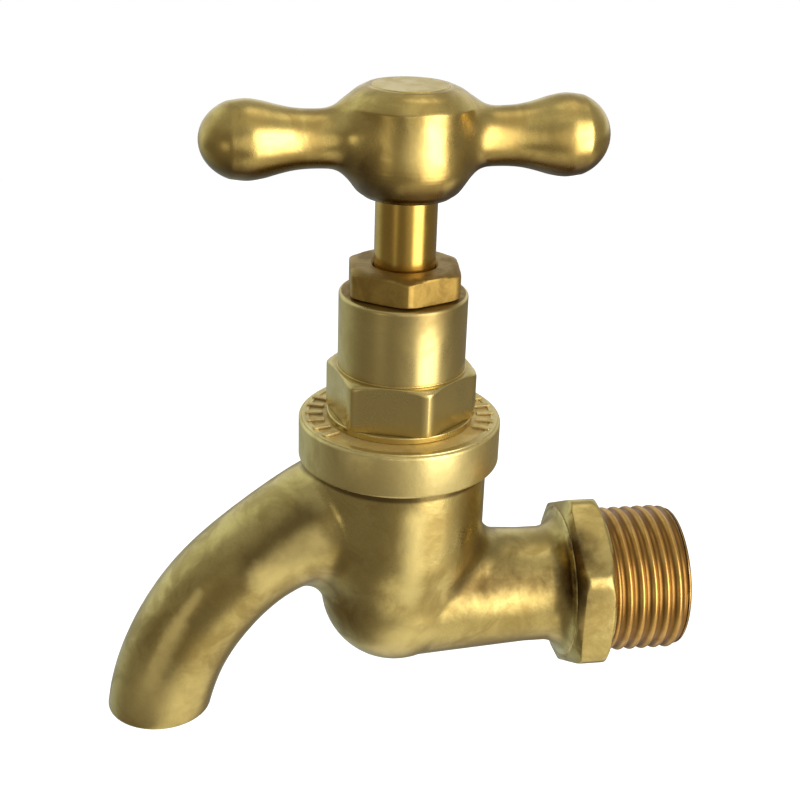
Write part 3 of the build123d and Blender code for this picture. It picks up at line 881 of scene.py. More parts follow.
CAST = Brass("cast_brass", (196, 174, 108), (158, 134, 76), (228, 206, 134), (72, 52, 26), 0.27,
             cast_depth=0.034, patch_size=5.0, patch_share=0.8, hollow_dirt_and_shade=0.45, round_edges=0.22,
             # Painted shade above a level: a dark band on the chamber just under the collar.
             painted_shade_line_at=(20.35, 20.85), painted_shade_line_share=0.75,
             # The marks are painted light: painted shade on the inlet hexagon and its root, on the chamber,
             # at the neck's root, along the top of the neck's highlight and in a dark band down the spout;
             # painted highlights along the spout, at its tip, on the chamber's bottom and down the chamber's
             # highlight.
             marks=(Patch((6.5, -6.2, 9.5), 4.4, 1.0, run=(3.0, 0.0, -5.5)),
                    Patch((6.5, -39.0, 1.0), 7.0, 0.45),
                    Patch((5.0, -16.0, 8.0), 6.0, 0.5),
                    Patch((7.6, -22.0, 4.8), 3.4, 0.8, run=(0.0, 12.0, 0.6)),
                    Patch((6.7, -43.5, 16.6), 3.0, 0.6, run=(0.2, -7.0, -6.8)),
                    Patch((6.9, -50.5, 9.8), 3.4, 0.35, run=(-0.3, -7.5, -8.5)),
                    Patch((8.2, -42.5, 13.2), 3.2, 1.0, Tone.PAINTED_HIGHLIGHT, run=(-0.8, -6.5, -5.5)),
                    Patch((5.5, -64.0, -11.0), 8.0, 0.7, Tone.PAINTED_HIGHLIGHT),
                    Patch((10.5, -31.0, -2.0), 7.0, 0.6, Tone.PAINTED_HIGHLIGHT),
                    Patch((12.1, -29.9, 5.0), 2.4, 0.8, Tone.PAINTED_HIGHLIGHT, run=(0.0, 0.0, 13.0)),
                    Patch((5.9, -57.9, 5.2), 1.0, 0.7, Tone.PAINTED_HIGHLIGHT, run=(0.4, -4.0, -6.3)),
                    Patch((6.2, -60.6, 0.6), 1.7, 0.7, Tone.PAINTED_HIGHLIGHT, run=(0.2, -4.2, -9.1)),
                    Patch((9.0, -1.5, 9.5), 4.2, 0.35, run=(1.5, 0.0, -4.0))))
# The collar's side: a rougher copy of the cast brass, painted lighter to stand for light on the collar.
COLLAR_PAINTED_LIGHT = Brass("collar_brass_painted_light", (212, 192, 128), (180, 158, 98), (232, 214, 152), (84, 62, 32), 0.36,
               cast_depth=0.034, patch_size=5.0, patch_share=0.6, hollow_dirt_and_shade=0.15, round_edges=0.22)
# The collar's top: rough cast skin, painted lighter to stand for light falling on it.
RAW_CAST_PAINTED_LIGHT = Brass("raw_cast_brass_painted_light", (226, 204, 142), (194, 168, 108), (240, 224, 166), (76, 54, 26), 0.55,
                 cast_depth=0.05, swell=1.2, tooth=1.6, patch_size=3.0, patch_share=0.6,
                 hollow_dirt_and_shade=0.95, hollow_reach=0.6, edge_share=0.9, round_edges=0.2)
TURNED = Brass("turned_brass", (206, 184, 120), (182, 160, 98), (228, 212, 152), (96, 74, 38), 0.26,
               ring_depth=0.002, ring_pitch=0.16, patch_size=7.0, patch_share=0.7, hollow_dirt_and_shade=0.5,
               edge_share=0.8, edge_reach=0.7,
               # The mark is painted shade that dims the top of the barrel's highlight.
               marks=(Patch((8.3, -28.5, 45.2), 4.0, 0.6, run=(-0.8, 2.5, 0.0)),))
GLAND = Brass("gland_brass", (170, 140, 74), (136, 108, 54), (206, 176, 102), (70, 48, 22), 0.46,
              cast_depth=0.016, patch_size=3.0, patch_share=0.8, hollow_dirt_and_shade=0.5)
POLISHED = Brass("polished_brass", (192, 158, 80), (168, 132, 60), (234, 206, 122), (84, 58, 26), 0.18,
                 ring_depth=0.0015, ring_pitch=0.2, patch_size=8.0, patch_share=0.5, hollow_dirt_and_shade=0.5)
HANDLE = Brass("handle_brass", (202, 176, 104), (164, 136, 74), (234, 208, 130), (78, 56, 34), 0.23,
               cast_depth=0.026, tooth=0.7, patch_size=5.0, patch_share=0.75, hollow_dirt_and_shade=0.3,
               # Painted shade under the arms and boss, two more patches of painted shade under the boss
               # where the arms meet it, and a painted highlight on the boss's front.
               painted_underside_shade=0.85,
               marks=(Patch((5.0, -36.8, 61.8), 5.0, 0.8),
                      Patch((5.5, -22.0, 61.5), 4.0, 0.5),
                      Patch((8.1, -30.5, 66.0), 4.0, 0.5, Tone.PAINTED_HIGHLIGHT)))
CAP = Brass("cap_brass", (210, 184, 106), (192, 164, 88), (236, 218, 150), (118, 94, 52), 0.30,
            cast_depth=0.012, patch_size=3.0, hollow_dirt_and_shade=0.4, round_edges=0.08)
# Thread: dirt and painted shade darken its grooves and hollows, and the wear tone on its crests is partly a
# painted highlight.
THREAD = Brass("thread_brass", (204, 160, 88), (172, 126, 60), (242, 214, 146), (98, 62, 24), 0.32,
               ring_depth=0.0015, ring_pitch=0.1, ring_axis=Axis.INLET, patch_size=3.5, edge_share=0.85,
               edge_reach=0.35, hollow_dirt_and_shade=0.5, groove_at=(10.36, 10.16), groove_dirt_and_shade=0.75)
FIBRE = Seal("fibre", (122, 58, 40), (92, 40, 28), 0.8, 0.5, 0.03)
PACKING = Seal("packing", (206, 200, 186), (150, 144, 132), 0.85, 0.3, 0.04)
RUBBER = Seal("rubber", (36, 36, 38), (58, 58, 60), 0.6, 0.4, 0.01)
SURFACES = (CAST, COLLAR_PAINTED_LIGHT, RAW_CAST_PAINTED_LIGHT, TURNED, GLAND, POLISHED, HANDLE, CAP, THREAD, FIBRE, PACKING, RUBBER)


# The parts of the tap


@dataclass
class TapBody:
    """The casting with its spout, and its inlet end with hexagon and thread."""

    spindle_y: float
    hex_across_flats: float = 23.3
    hex_width: float = 5.8
    hex_bevel_radius: float = 11.1
    hex_bevel_deg: float = 27.0
    hex_corner_radius: float = 13.2
    cut_past: float = 0.002
    thread_radius: float = 10.47
    thread_depth: float = 0.38
    thread_pitch: float = 1.814
    thread_length: float = 11.3
    thread_land: float = 0.45
    thread_rows: int = 150
    thread_from: float = 0.02
    crest_power: float = 1.3
    run_out: float = 1.0
    lead_in: float = 1.3
    lead_in_depth: float = 0.75
    mouth_gap: float = 0.35
    mouth_inset: float = 0.1
    mouth_bevel: float = 0.4
    mouth_bevel_length: float = 0.5
    bore_radius: float = 7.0
    bore_ring: float = 0.6
    collar_z: float = 28.0
    collar_low_z: float = 21.0
    collar_slack: float = 0.05
    lip_inner: float = 12.3
    lip_outer: float = 13.3
    lip_height: float = 0.16
    lip_sunk: float = 0.2
    lip_columns: int = 180

    def build(self, finishes: Finishes) -> list[bpy.types.Object]:
        """Builds the casting and the inlet end.

        Args:
            finishes: Materials by finish name.

        Returns:
            The pieces.
        """
        shell = merged_copy("tap_body", "body_casting")
        self._trim(shell.data)
        dress(shell, *(finishes[surface.name] for surface in (CAST, COLLAR_PAINTED_LIGHT, RAW_CAST_PAINTED_LIGHT)))
        give_faces(shell, self._collar_faces(shell.data))
        lip = put_mesh("collar_lip", place_round(self._lip_grid(), Axis.SPINDLE, self.spindle_y))
        dress(lip, finishes[COLLAR_PAINTED_LIGHT.name])
        end = put_mesh("inlet_end", place_round(self._inlet_grid(), Axis.INLET, self.spindle_y))
        dress(end, finishes[CAST.name], finishes[THREAD.name])
        give_faces(end, face_centres(end.data)[:, 1] > self.thread_from)
        for piece in (shell, end, lip):
            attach(piece, "body")
            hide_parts("tap_body")
        return [shell, end, lip]

    def _trim(self, mesh: bpy.types.Mesh) -> None:
        """Cuts the casting off flat behind the inlet hexagon and closes the cut.

        Args:
            mesh: The casting's mesh.
        """
        plane = -(self.hex_width + self.cut_past) * MM
        with editing(mesh) as work:
            cut = bmesh.ops.bisect_plane(work, geom=work.verts[:] + work.edges[:] + work.faces[:],
                                         dist=MERGE_M, plane_co=(0, plane, 0), plane_no=(0, 1, 0),
                                         clear_outer=True)
            rims = [item for item in cut["geom_cut"] if isinstance(item, bmesh.types.BMEdge)]
            bmesh.ops.bridge_loops(work, edges=[edge for edge in rims if edge.is_boundary])
        shade(mesh, CAST_SHARP_DEG)

    def _inlet_grid(self) -> np.ndarray:
        """The inlet end: bore, hexagon and a right-hand thread.

        The thread's radius is its root plus its depth times a wave of the distance along the axis over the
        pitch plus the share of a turn. The wave is a raised cosine to a power, so that its crests are
        narrow. The crests grow out of the root beside the hexagon, and the lead-in takes them down again
        at the pipe's end.

        Returns:
            Radius, angle and height by row and column.
        """
        flat = Hexagon(self.hex_across_flats, self.hex_corner_radius, 0.0, softness=0.35)
        angles = flat.angles()
        drop = (self.hex_corner_radius - self.hex_bevel_radius) * math.tan(math.radians(self.hex_bevel_deg))
        back, root = -self.hex_width, self.thread_radius - self.thread_depth
        hexagon = rounded_loop([
            Corner(self.bore_radius, back),
            Corner(self.hex_bevel_radius, back, 0.25, True),
            Corner(self.hex_corner_radius, back + drop, 0.4, True),
            Corner(self.hex_corner_radius, -drop, 0.9, True),
            Corner(self.hex_bevel_radius, 0.0, 0.5, True),
            Corner(root, 0.0),
        ])
        along = np.linspace(0.0, self.thread_length - self.mouth_gap, self.thread_rows)[1:]
        turn = np.repeat(angles[None, :], len(along), axis=0)
        height = np.repeat(along[:, None], len(angles), axis=1)
        phase = (height - self.thread_land) / self.thread_pitch + turn / math.tau
        crest = (0.5 + 0.5 * np.cos(math.tau * phase)) ** self.crest_power
        starts = smooth_step(height / self.run_out)
        taper = smooth_step((height - (self.thread_length - self.lead_in)) / self.lead_in)
        radius = root + self.thread_depth * crest * starts
        radius = np.minimum(radius, self.thread_radius - self.lead_in_depth * taper)
        inside, mouth, ring = root - self.mouth_inset, self.thread_length, back + self.bore_ring
        end = rounded_loop([
            Corner(inside, mouth, 0.3),
            Corner(self.bore_radius + self.mouth_bevel, mouth, 0.1),
            Corner(self.bore_radius, mouth - self.mouth_bevel_length, 0.1),
            Corner(self.bore_radius, ring),
            Corner(inside, ring),
        ])[:-1]
        return np.concatenate([turned_grid(hexagon, angles, flat), np.stack([radius, turn, height], axis=-1),
                               turned_grid(end, angles, None)], axis=0)

    def _lip_grid(self) -> np.ndarray:
        """The low lip round the collar's top, sunk a little into it.

        Returns:
            Radius, angle and height by row and column.
        """
        low, top = self.collar_z - self.lip_sunk, self.collar_z + self.lip_height
        loop = rounded_loop([
            Corner(self.lip_inner, low), Corner(self.lip_outer, low),
            Corner(self.lip_outer, top, 0.14), Corner(self.lip_inner, top, 0.14),
        ])
        return turned_grid(loop, np.linspace(0.0, math.tau, self.lip_columns, endpoint=False), None)

    def _collar_faces(self, mesh: bpy.types.Mesh) -> np.ndarray:
        """Which faces of the casting are the collar's, by their height and distance from the spindle.

        Args:
            mesh: The casting's mesh.

        Returns:
            2 for a face on the collar's top, 1 for one on its side and 0 elsewhere.
        """
        centre = face_centres(mesh)
        away = np.hypot(centre[:, 0], centre[:, 1] - self.spindle_y)
        side = (away > self.lip_outer) & (centre[:, 2] > self.collar_low_z)
        top = centre[:, 2] > self.collar_z - self.collar_slack
        return np.where(top, 2, side.astype(int))


@dataclass
class Bonnet:
    """The bonnet: flange, hexagon and turned barrel over its threaded foot."""

    spindle_y: float
    collar_z: float = 28.0
    flange_radius: float = 9.87
    flange_height: float = 0.9
    flange_slope: float = 0.002
    hex_across_flats: float = 18.1
    hex_height: float = 6.5
    hex_corner_radius: float = 10.38
    hex_bevel_radius: float = 9.35
    hex_bevel_deg: float = 30.0
    hex_corner_at_deg: float = 11.4
    hex_undercut: float = 0.5
    hex_lift: float = 0.03
    barrel_radius: float = 8.53
    top_z: float = 45.7
    top_slack: float = 0.02
    box_radius: float = 6.0
    box_floor_z: float = 38.2
    relief_top_z: float = 35.2
    stem_bore: float = 4.06
    foot_radius: float = 8.0
    foot_z: float = 20.0
    foot_bore: float = 5.4

    def build(self, finishes: Finishes) -> list[bpy.types.Object]:
        """Builds the bonnet from one outline with a hexagonal band.

        Args:
            finishes: Materials by finish name.

        Returns:
            The piece.
        """
        flat = Hexagon(self.hex_across_flats, self.hex_corner_radius, self.hex_corner_at_deg + 30.0,
                       softness=0.5)
        flange_top = self.collar_z + self.flange_height
        hex_top = flange_top + self.hex_height
        bevel = (self.hex_corner_radius - self.hex_bevel_radius) * math.tan(math.radians(self.hex_bevel_deg))
        loop = rounded_loop([
            Corner(self.foot_bore, self.foot_z),
            Corner(self.foot_radius, self.foot_z, 0.3),
            Corner(self.foot_radius, self.collar_z),
            Corner(self.flange_radius, self.collar_z, 0.15),
            Corner(self.flange_radius, flange_top, 0.18),
            Corner(self.hex_bevel_radius - self.hex_undercut, flange_top + self.flange_slope, 0.0, True),
            Corner(self.hex_corner_radius, flange_top + self.hex_lift, 0.2, True),
            Corner(self.hex_corner_radius, hex_top - bevel, 0.4, True),
            Corner(self.hex_bevel_radius, hex_top, 0.25, True),
            Corner(self.barrel_radius, hex_top, 0.12),
            Corner(self.barrel_radius, self.top_z, 0.5),
            Corner(self.box_radius, self.top_z, 0.15),
            Corner(self.box_radius, self.box_floor_z, 0.1),
            Corner(self.stem_bore, self.box_floor_z),
            Corner(self.stem_bore, self.relief_top_z),
            Corner(self.foot_bore, self.relief_top_z),
        ])
        grid = turned_grid(loop, flat.angles(), flat)
        piece = put_mesh("bonnet_turned", place_round(grid, Axis.SPINDLE, self.spindle_y))
        dress(piece, finishes[TURNED.name], finishes[GLAND.name])
        # The barrel's top face gets the darker gland finish as painted shade under the nut.
        give_faces(piece, face_centres(piece.data)[:, 2] > self.top_z - self.top_slack)
        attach(piece, "body")
        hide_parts("bonnet")
        return [piece]


@dataclass
class GlandNut:
    """The gland nut: a low hexagon, bevelled on both faces, over its threaded foot."""

    spindle_y: float
    across_flats: float = 14.2
    corner_radius: float = 8.1
    face_radius: float = 6.7
    corner_at_deg: float = -5.7
    bottom_z: float = 45.75
    height: float = 3.8
    bevel_above: float = 0.55
    bevel_below: float = 0.3
    bore: float = 4.09
    mouth: float = 0.36
    foot_radius: float = 5.6
    foot_z: float = 42.3

    def build(self, finishes: Finishes) -> list[bpy.types.Object]:
        """Builds the nut from one outline with a hexagonal band.

        Args:
            finishes: Materials by finish name.

        Returns:
            The piece.
        """
        flat = Hexagon(self.across_flats, self.corner_radius, self.corner_at_deg + 30.0, softness=0.3)
        top = self.bottom_z + self.height
        loop = rounded_loop([
            Corner(self.bore, self.foot_z),
            Corner(self.foot_radius, self.foot_z, 0.2),
            Corner(self.foot_radius, self.bottom_z),
            Corner(self.face_radius, self.bottom_z, 0.3, True),
            Corner(self.corner_radius, self.bottom_z + self.bevel_below, 0.25, True),
            Corner(self.corner_radius, top - self.bevel_above, 0.3, True),
            Corner(self.face_radius, top, 0.5, True),
            Corner(self.bore + self.mouth, top, 0.1),
            Corner(self.bore, top - self.mouth, 0.08),
        ])
        grid = turned_grid(loop, flat.angles(), flat)
        piece = put_mesh("gland_nut_turned", place_round(grid, Axis.SPINDLE, self.spindle_y))
        dress(piece, finishes[GLAND.name])
        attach(piece, "body")
        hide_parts("gland_nut")
        return [piece]


@dataclass
class Handle:
    """The T handle: a domed boss with two arms that swell into knobs, cast in one.

    It is worked out round its own middle with the arms along X, and then turned and put in its place.
    Heights on the boss's side and dome are shares of their rise. The swells are shares of the way from
    the neck to the knob, along the arm and in radius. A knob's tip is part of an ellipse that begins at
    tip_at of the way from the knob's middle to its end, where the radius is tip_width of the knob's.
    """

    spindle_y: float
    turn_deg: float = 92.0
    arm_z: float = 66.0
    base_z: float = 58.8
    base_radius: float = 5.8
    foot_radius: float = 7.0
    foot_at: float = 0.09
    middle_radius: float = 8.25
    middle_at: float = 0.31
    upper_at: float = 0.68
    upper_share: float = 0.55
    shoulder_radius: float = 8.0
    shoulder_z: float = 70.6
    shoulder_drop: float = 0.3
    shoulder_step: float = 0.18
    top_z: float = 72.5
    dome_radius: float = 6.8
    dome_at: float = 0.62
    flat_radius: float = 5.5
    neck_radius: float = 3.73
    neck_at: float = 12.2
    neck_length: float = 3.5
    arm_taper: float = 0.1
    knob_radius: float = 5.15
    knob_at: float = 20.4
    swells: tuple[Range, ...] = ((0.28, 0.12), (0.52, 0.42), (0.76, 0.80))
    tip_at: float = 0.36
    tip_width: float = 0.955
    tip_points: int = 16
    reach: float = 26.25
    lopsided: float = 0.03
    fillet_below: float = 2.3
    fillet_above: float = 3.35
    fillet_band: float = 2.0
    cap_radius: float = 4.9
    cap_bevel: float = 0.04
    cap_z: float = 71.59
    pocket_radius: float = 3.9
    web_top_z: float = 67.83
    web_z: float = 66.63
    screw_radius: float = 2.1
    socket_half: float = 2.83
    seat_z: float = 61.8
    stem_radius: float = 4.06
    stem_bevel: float = 0.1
    base_rim: float = 0.25
    boss_steps: int = 7
    arm_steps: int = 5
    columns: int = 336
    column_crowding: float = 0.36
    rows: int = 130
    row_crowding: float = 0.38
    arm_view_deg: float = 46.0
    square_deg: float = 80.0
    end_on_share: float = 0.25
    first_step: float = 3.0
    step_gain: float = 1.4
    near_enough: float = 2e-4
    most_steps: int = 60

    def build(self, finishes: Finishes) -> list[bpy.types.Object]:
        """Builds the handle as one closed surface, outside and pocket together.

        Args:
            finishes: Materials by finish name.

        Returns:
            The piece.
        """
        even = np.linspace(0.0, math.tau, self.columns, endpoint=False)
        angles = even - self.column_crowding * np.sin(2 * even)
        outside = self._skin(*self._rays(angles))
        outside[0] = self._ring(angles, self.base_radius, self.base_z)
        outside[-1] = self._ring(angles, self.flat_radius, self.top_z)
        points = np.concatenate([outside, self._inside(angles)], axis=0)
        turn = math.radians(self.turn_deg)
        across = points[..., 0] * math.cos(turn) - points[..., 1] * math.sin(turn)
        along = points[..., 0] * math.sin(turn) + points[..., 1] * math.cos(turn) + self.spindle_y
        piece = put_mesh("handle_casting", np.stack([across, along, points[..., 2]], axis=-1))
        dress(piece, finishes[HANDLE.name])
        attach(piece, "spindle")
        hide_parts("handle")
        return [piece]

    def _boss_outline(self) -> np.ndarray:
        """The boss's outline: a smooth side, a small step at the shoulder, and a smooth dome.

        Returns:
            Rows of distance from the spindle and height above the arms.
        """
        rise, step = self.shoulder_z - self.base_z, self.top_z - self.shoulder_z
        upper_radius = self.shoulder_radius + (self.middle_radius - self.shoulder_radius) * self.upper_share
        side = smooth_curve([
            (self.base_radius, self.base_z),
            (self.foot_radius, self.base_z + rise * self.foot_at),
            (self.middle_radius, self.base_z + rise * self.middle_at),
            (upper_radius, self.base_z + rise * self.upper_at),
            (self.shoulder_radius, self.shoulder_z - self.shoulder_drop),
        ], self.boss_steps)
        dome = smooth_curve([
            (self.shoulder_radius - self.shoulder_step, self.shoulder_z + 0.02),
            (self.dome_radius, self.shoulder_z + step * self.dome_at), (self.flat_radius, self.top_z),
        ], self.boss_steps)
        return np.vstack([[0.0, self.base_z], side, dome, [0.0, self.top_z]]) - [0.0, self.arm_z]

    def _arm_outline(self) -> np.ndarray:
        """The arms' outline: a smooth line over neck and knob, and part of an ellipse round the tip.

        Returns:
            Rows of distance along an arm and from its line.
        """
        span, past = self.knob_at - self.neck_at, self.reach - self.knob_at
        swell = self.knob_radius - self.neck_radius
        tip_radius = self.knob_radius * self.tip_width
        side = smooth_curve([
            (0.0, self.neck_radius + self.arm_taper),
            (self.neck_at - self.neck_length, self.neck_radius + self.arm_taper / 2),
            (self.neck_at, self.neck_radius),
            *((self.neck_at + span * way, self.neck_radius + swell * out) for way, out in self.swells),
            (self.knob_at, self.knob_radius), (self.knob_at + past * self.tip_at, tip_radius),
        ], self.arm_steps)
        start = math.asin(self.tip_at)
        turn = np.linspace(start, math.pi / 2, self.tip_points)
        height = tip_radius / math.cos(start)
        tip = np.stack([self.knob_at + past * np.sin(turn), height * np.cos(turn)], axis=-1)
        return np.vstack([side[:-1], tip])

    def _rays(self, angles: np.ndarray) -> tuple[np.ndarray, np.ndarray]:
        """The lines on which the skin is looked for, which leave from inside the boss and the arms.

        A line's angle round the spindle and its rise are the grid's two parameters. Near an arm its start
        slides out along the arm and its lean grows towards square, so that the knobs get as many rows as
        the boss.

        Args:
            angles: Angles of the columns, in radians.

        Returns:
            Starts and directions by row and column.
        """
        low = math.atan2(self.base_z - self.arm_z, self.base_radius)
        high = math.atan2(self.top_z - self.arm_z, self.flat_radius)
        share = np.linspace(-1.0, 1.0, self.rows)
        lean = share * (1 - self.row_crowding + self.row_crowding * share ** 2)
        turn, climb = np.meshgrid(angles, np.where(lean < 0, -lean * low, lean * high))
        aim = np.stack([np.cos(climb) * np.cos(turn), np.cos(climb) * np.sin(turn), np.sin(climb)], axis=-1)
        side = np.where(aim[..., 0] < 0, -1.0, 1.0)
        from_arm = np.arccos(np.clip(np.abs(aim[..., 0]), 0.0, 1.0))
        edge, square = math.radians(self.arm_view_deg), math.radians(self.square_deg)
        part = from_arm / edge
        past_tip = np.clip((part - self.end_on_share) / (1 - self.end_on_share), 0.0, 1.0)
        at_tip = square * np.sin(np.clip(part / self.end_on_share, 0.0, 1.0) * math.pi / 2)
        on_arm = edge + (square - edge) * (0.5 + 0.5 * np.cos(math.pi * past_tip))
        lean_out = np.where(part < self.end_on_share, at_tip, np.where(part < 1, on_arm, from_arm))
        scale = np.sin(lean_out) / np.maximum(np.hypot(aim[..., 1], aim[..., 2]), 1e-9)
        ray = np.stack([side * np.cos(lean_out), aim[..., 1] * scale, aim[..., 2] * scale], axis=-1)
        start = np.zeros_like(ray)
        start[..., 0] = side * np.where(part < 1, self.knob_at * (1 - smooth_step(past_tip)), 0.0)
        return start, ray

    def _skin(self, start: np.ndarray, ray: np.ndarray) -> np.ndarray:
        """Walks every line to the skin, each step a little more than its distance to the skin.

        The skin is the smooth union of the boss's and the arms' outlines. The union is wider above the
        arms than below them, and the arm over the inlet is a little thicker than the other, as its
        distance is divided by 1 plus a share that grows along it.

        Args:
            start: Where the lines start.
            ray: Their directions.

        Returns:
            Points by row and column, at their own height.
        """
        boss, arms = self._boss_outline(), self._arm_outline()
        walked = np.full(start.shape[:2], self.first_step)
        moving = np.full(start.shape[:2], True)
        for _ in range(self.most_steps):
            spot = start[moving] + ray[moving] * walked[moving, None]
            from_boss = outline_distance(np.hypot(spot[:, 0], spot[:, 1]), spot[:, 2], boss)
            thicker = 1 + self.lopsided * spot[:, 0] / self.knob_at
            off_line = np.hypot(spot[:, 1], spot[:, 2]) / thicker
            from_arms = outline_distance(np.abs(spot[:, 0]), off_line, arms)
            above = smooth_step((spot[:, 2] + self.fillet_band) / (2 * self.fillet_band))
            fillet = self.fillet_below + (self.fillet_above - self.fillet_below) * above
            gap = smooth_min(from_boss, from_arms, fillet)
            walked[moving] -= self.step_gain * gap
            moving[moving] = np.abs(gap) > self.near_enough
            if not moving.any():
                break
        return start + ray * walked[..., None] + [0.0, 0.0, self.arm_z]

    @staticmethod
    def _ring(angles: np.ndarray, radius: Any, height: float) -> np.ndarray:
        """One row of points round the spindle."""
        return np.stack([radius * np.cos(angles), radius * np.sin(angles),
                         np.full_like(angles, height)], axis=-1)

    def _inside(self, angles: np.ndarray) -> np.ndarray:
        """The cap's recess, the screw's pocket, the web, the square socket and the round seat.

        The socket's radius at an angle is half its width over the larger of the angle's cosine and sine.

        Args:
            angles: Angles of the columns, in radians.

        Returns:
            Points by row and column, from the top down.
        """
        square = self.socket_half / np.maximum(np.abs(np.cos(angles)), np.abs(np.sin(angles)))
        square = np.minimum(square, self.stem_radius)
        rings = [(self.cap_radius + self.cap_bevel, self.top_z),
                 (self.cap_radius, self.top_z - self.cap_bevel), (self.cap_radius, self.cap_z),
                 (self.pocket_radius, self.cap_z), (self.pocket_radius, self.web_top_z),
                 (self.screw_radius, self.web_top_z), (self.screw_radius, self.web_z),
                 (square, self.web_z), (square, self.seat_z), (self.stem_radius, self.seat_z),
                 (self.stem_radius, self.base_z + self.stem_bevel),
                 (self.stem_radius + self.stem_bevel, self.base_z),
                 (self.base_radius - self.base_rim, self.base_z)]
        return np.stack([self._ring(angles, radius, height) for radius, height in rings])


@dataclass
class PlainPieces:
    """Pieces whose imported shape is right: they are joined up, and get their finish."""

    finish_of: dict[str, str] = field(default_factory=lambda: {
        "spindle": POLISHED.name, "handle_cap": CAP.name, "handle_screw": POLISHED.name,
        "bonnet_washer": FIBRE.name, "gland_follower": TURNED.name, "packing_ring_1": PACKING.name,
        "packing_ring_2": PACKING.name, "packing_ring_3": PACKING.name, "jumper_valve": TURNED.name,
        "tap_washer": RUBBER.name, "washer_nut": TURNED.name,
    })
    hidden_finish_of: dict[str, str] = field(default_factory=lambda: {
        "tap_body": CAST.name, "bonnet": TURNED.name, "gland_nut": GLAND.name, "handle": HANDLE.name})
    slot_of: dict[str, str] = field(default_factory=lambda: {
        "spindle": "polished_brass", "handle_cap": "cap_brass"})
    body_of: dict[str, str] = field(default_factory=lambda: {"spindle": "spindle", "handle_cap": "spindle"})

    def build(self, finishes: Finishes) -> list[bpy.types.Object]:
        """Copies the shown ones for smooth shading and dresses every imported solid.

        Args:
            finishes: Materials by finish name.

        Returns:
            The copies.
        """
        for node, finish in {**self.finish_of, **self.hidden_finish_of}.items():
            dress(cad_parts[node], finishes[finish])
        copies = []
        for node, slot in self.slot_of.items():
            piece = merged_copy(node, node + "_smooth")
            dress(piece, finishes[self.finish_of[node]])
            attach(piece, self.body_of[node])
            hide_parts(node)
            copies.append(piece)
        return copies


# Studio


class Way(Enum):
    """The direction along which a band of the room changes."""

    FORWARD = "towards the camera"
    UPWARD = "up"


@dataclass(frozen=True)
class Band:
    """A side of the room with its own colour: where along its way it starts, and where it is full."""

    way: Way
    start: float
    full: float
    colour: Colour


@dataclass(frozen=True)
class Glow:
    """A soft patch of light on the room's wall: where it is, how far it spreads, and its colour."""

    turn_deg: float
    rise_deg: float
    core_deg: float
    edge_deg: float
    colour: Colour


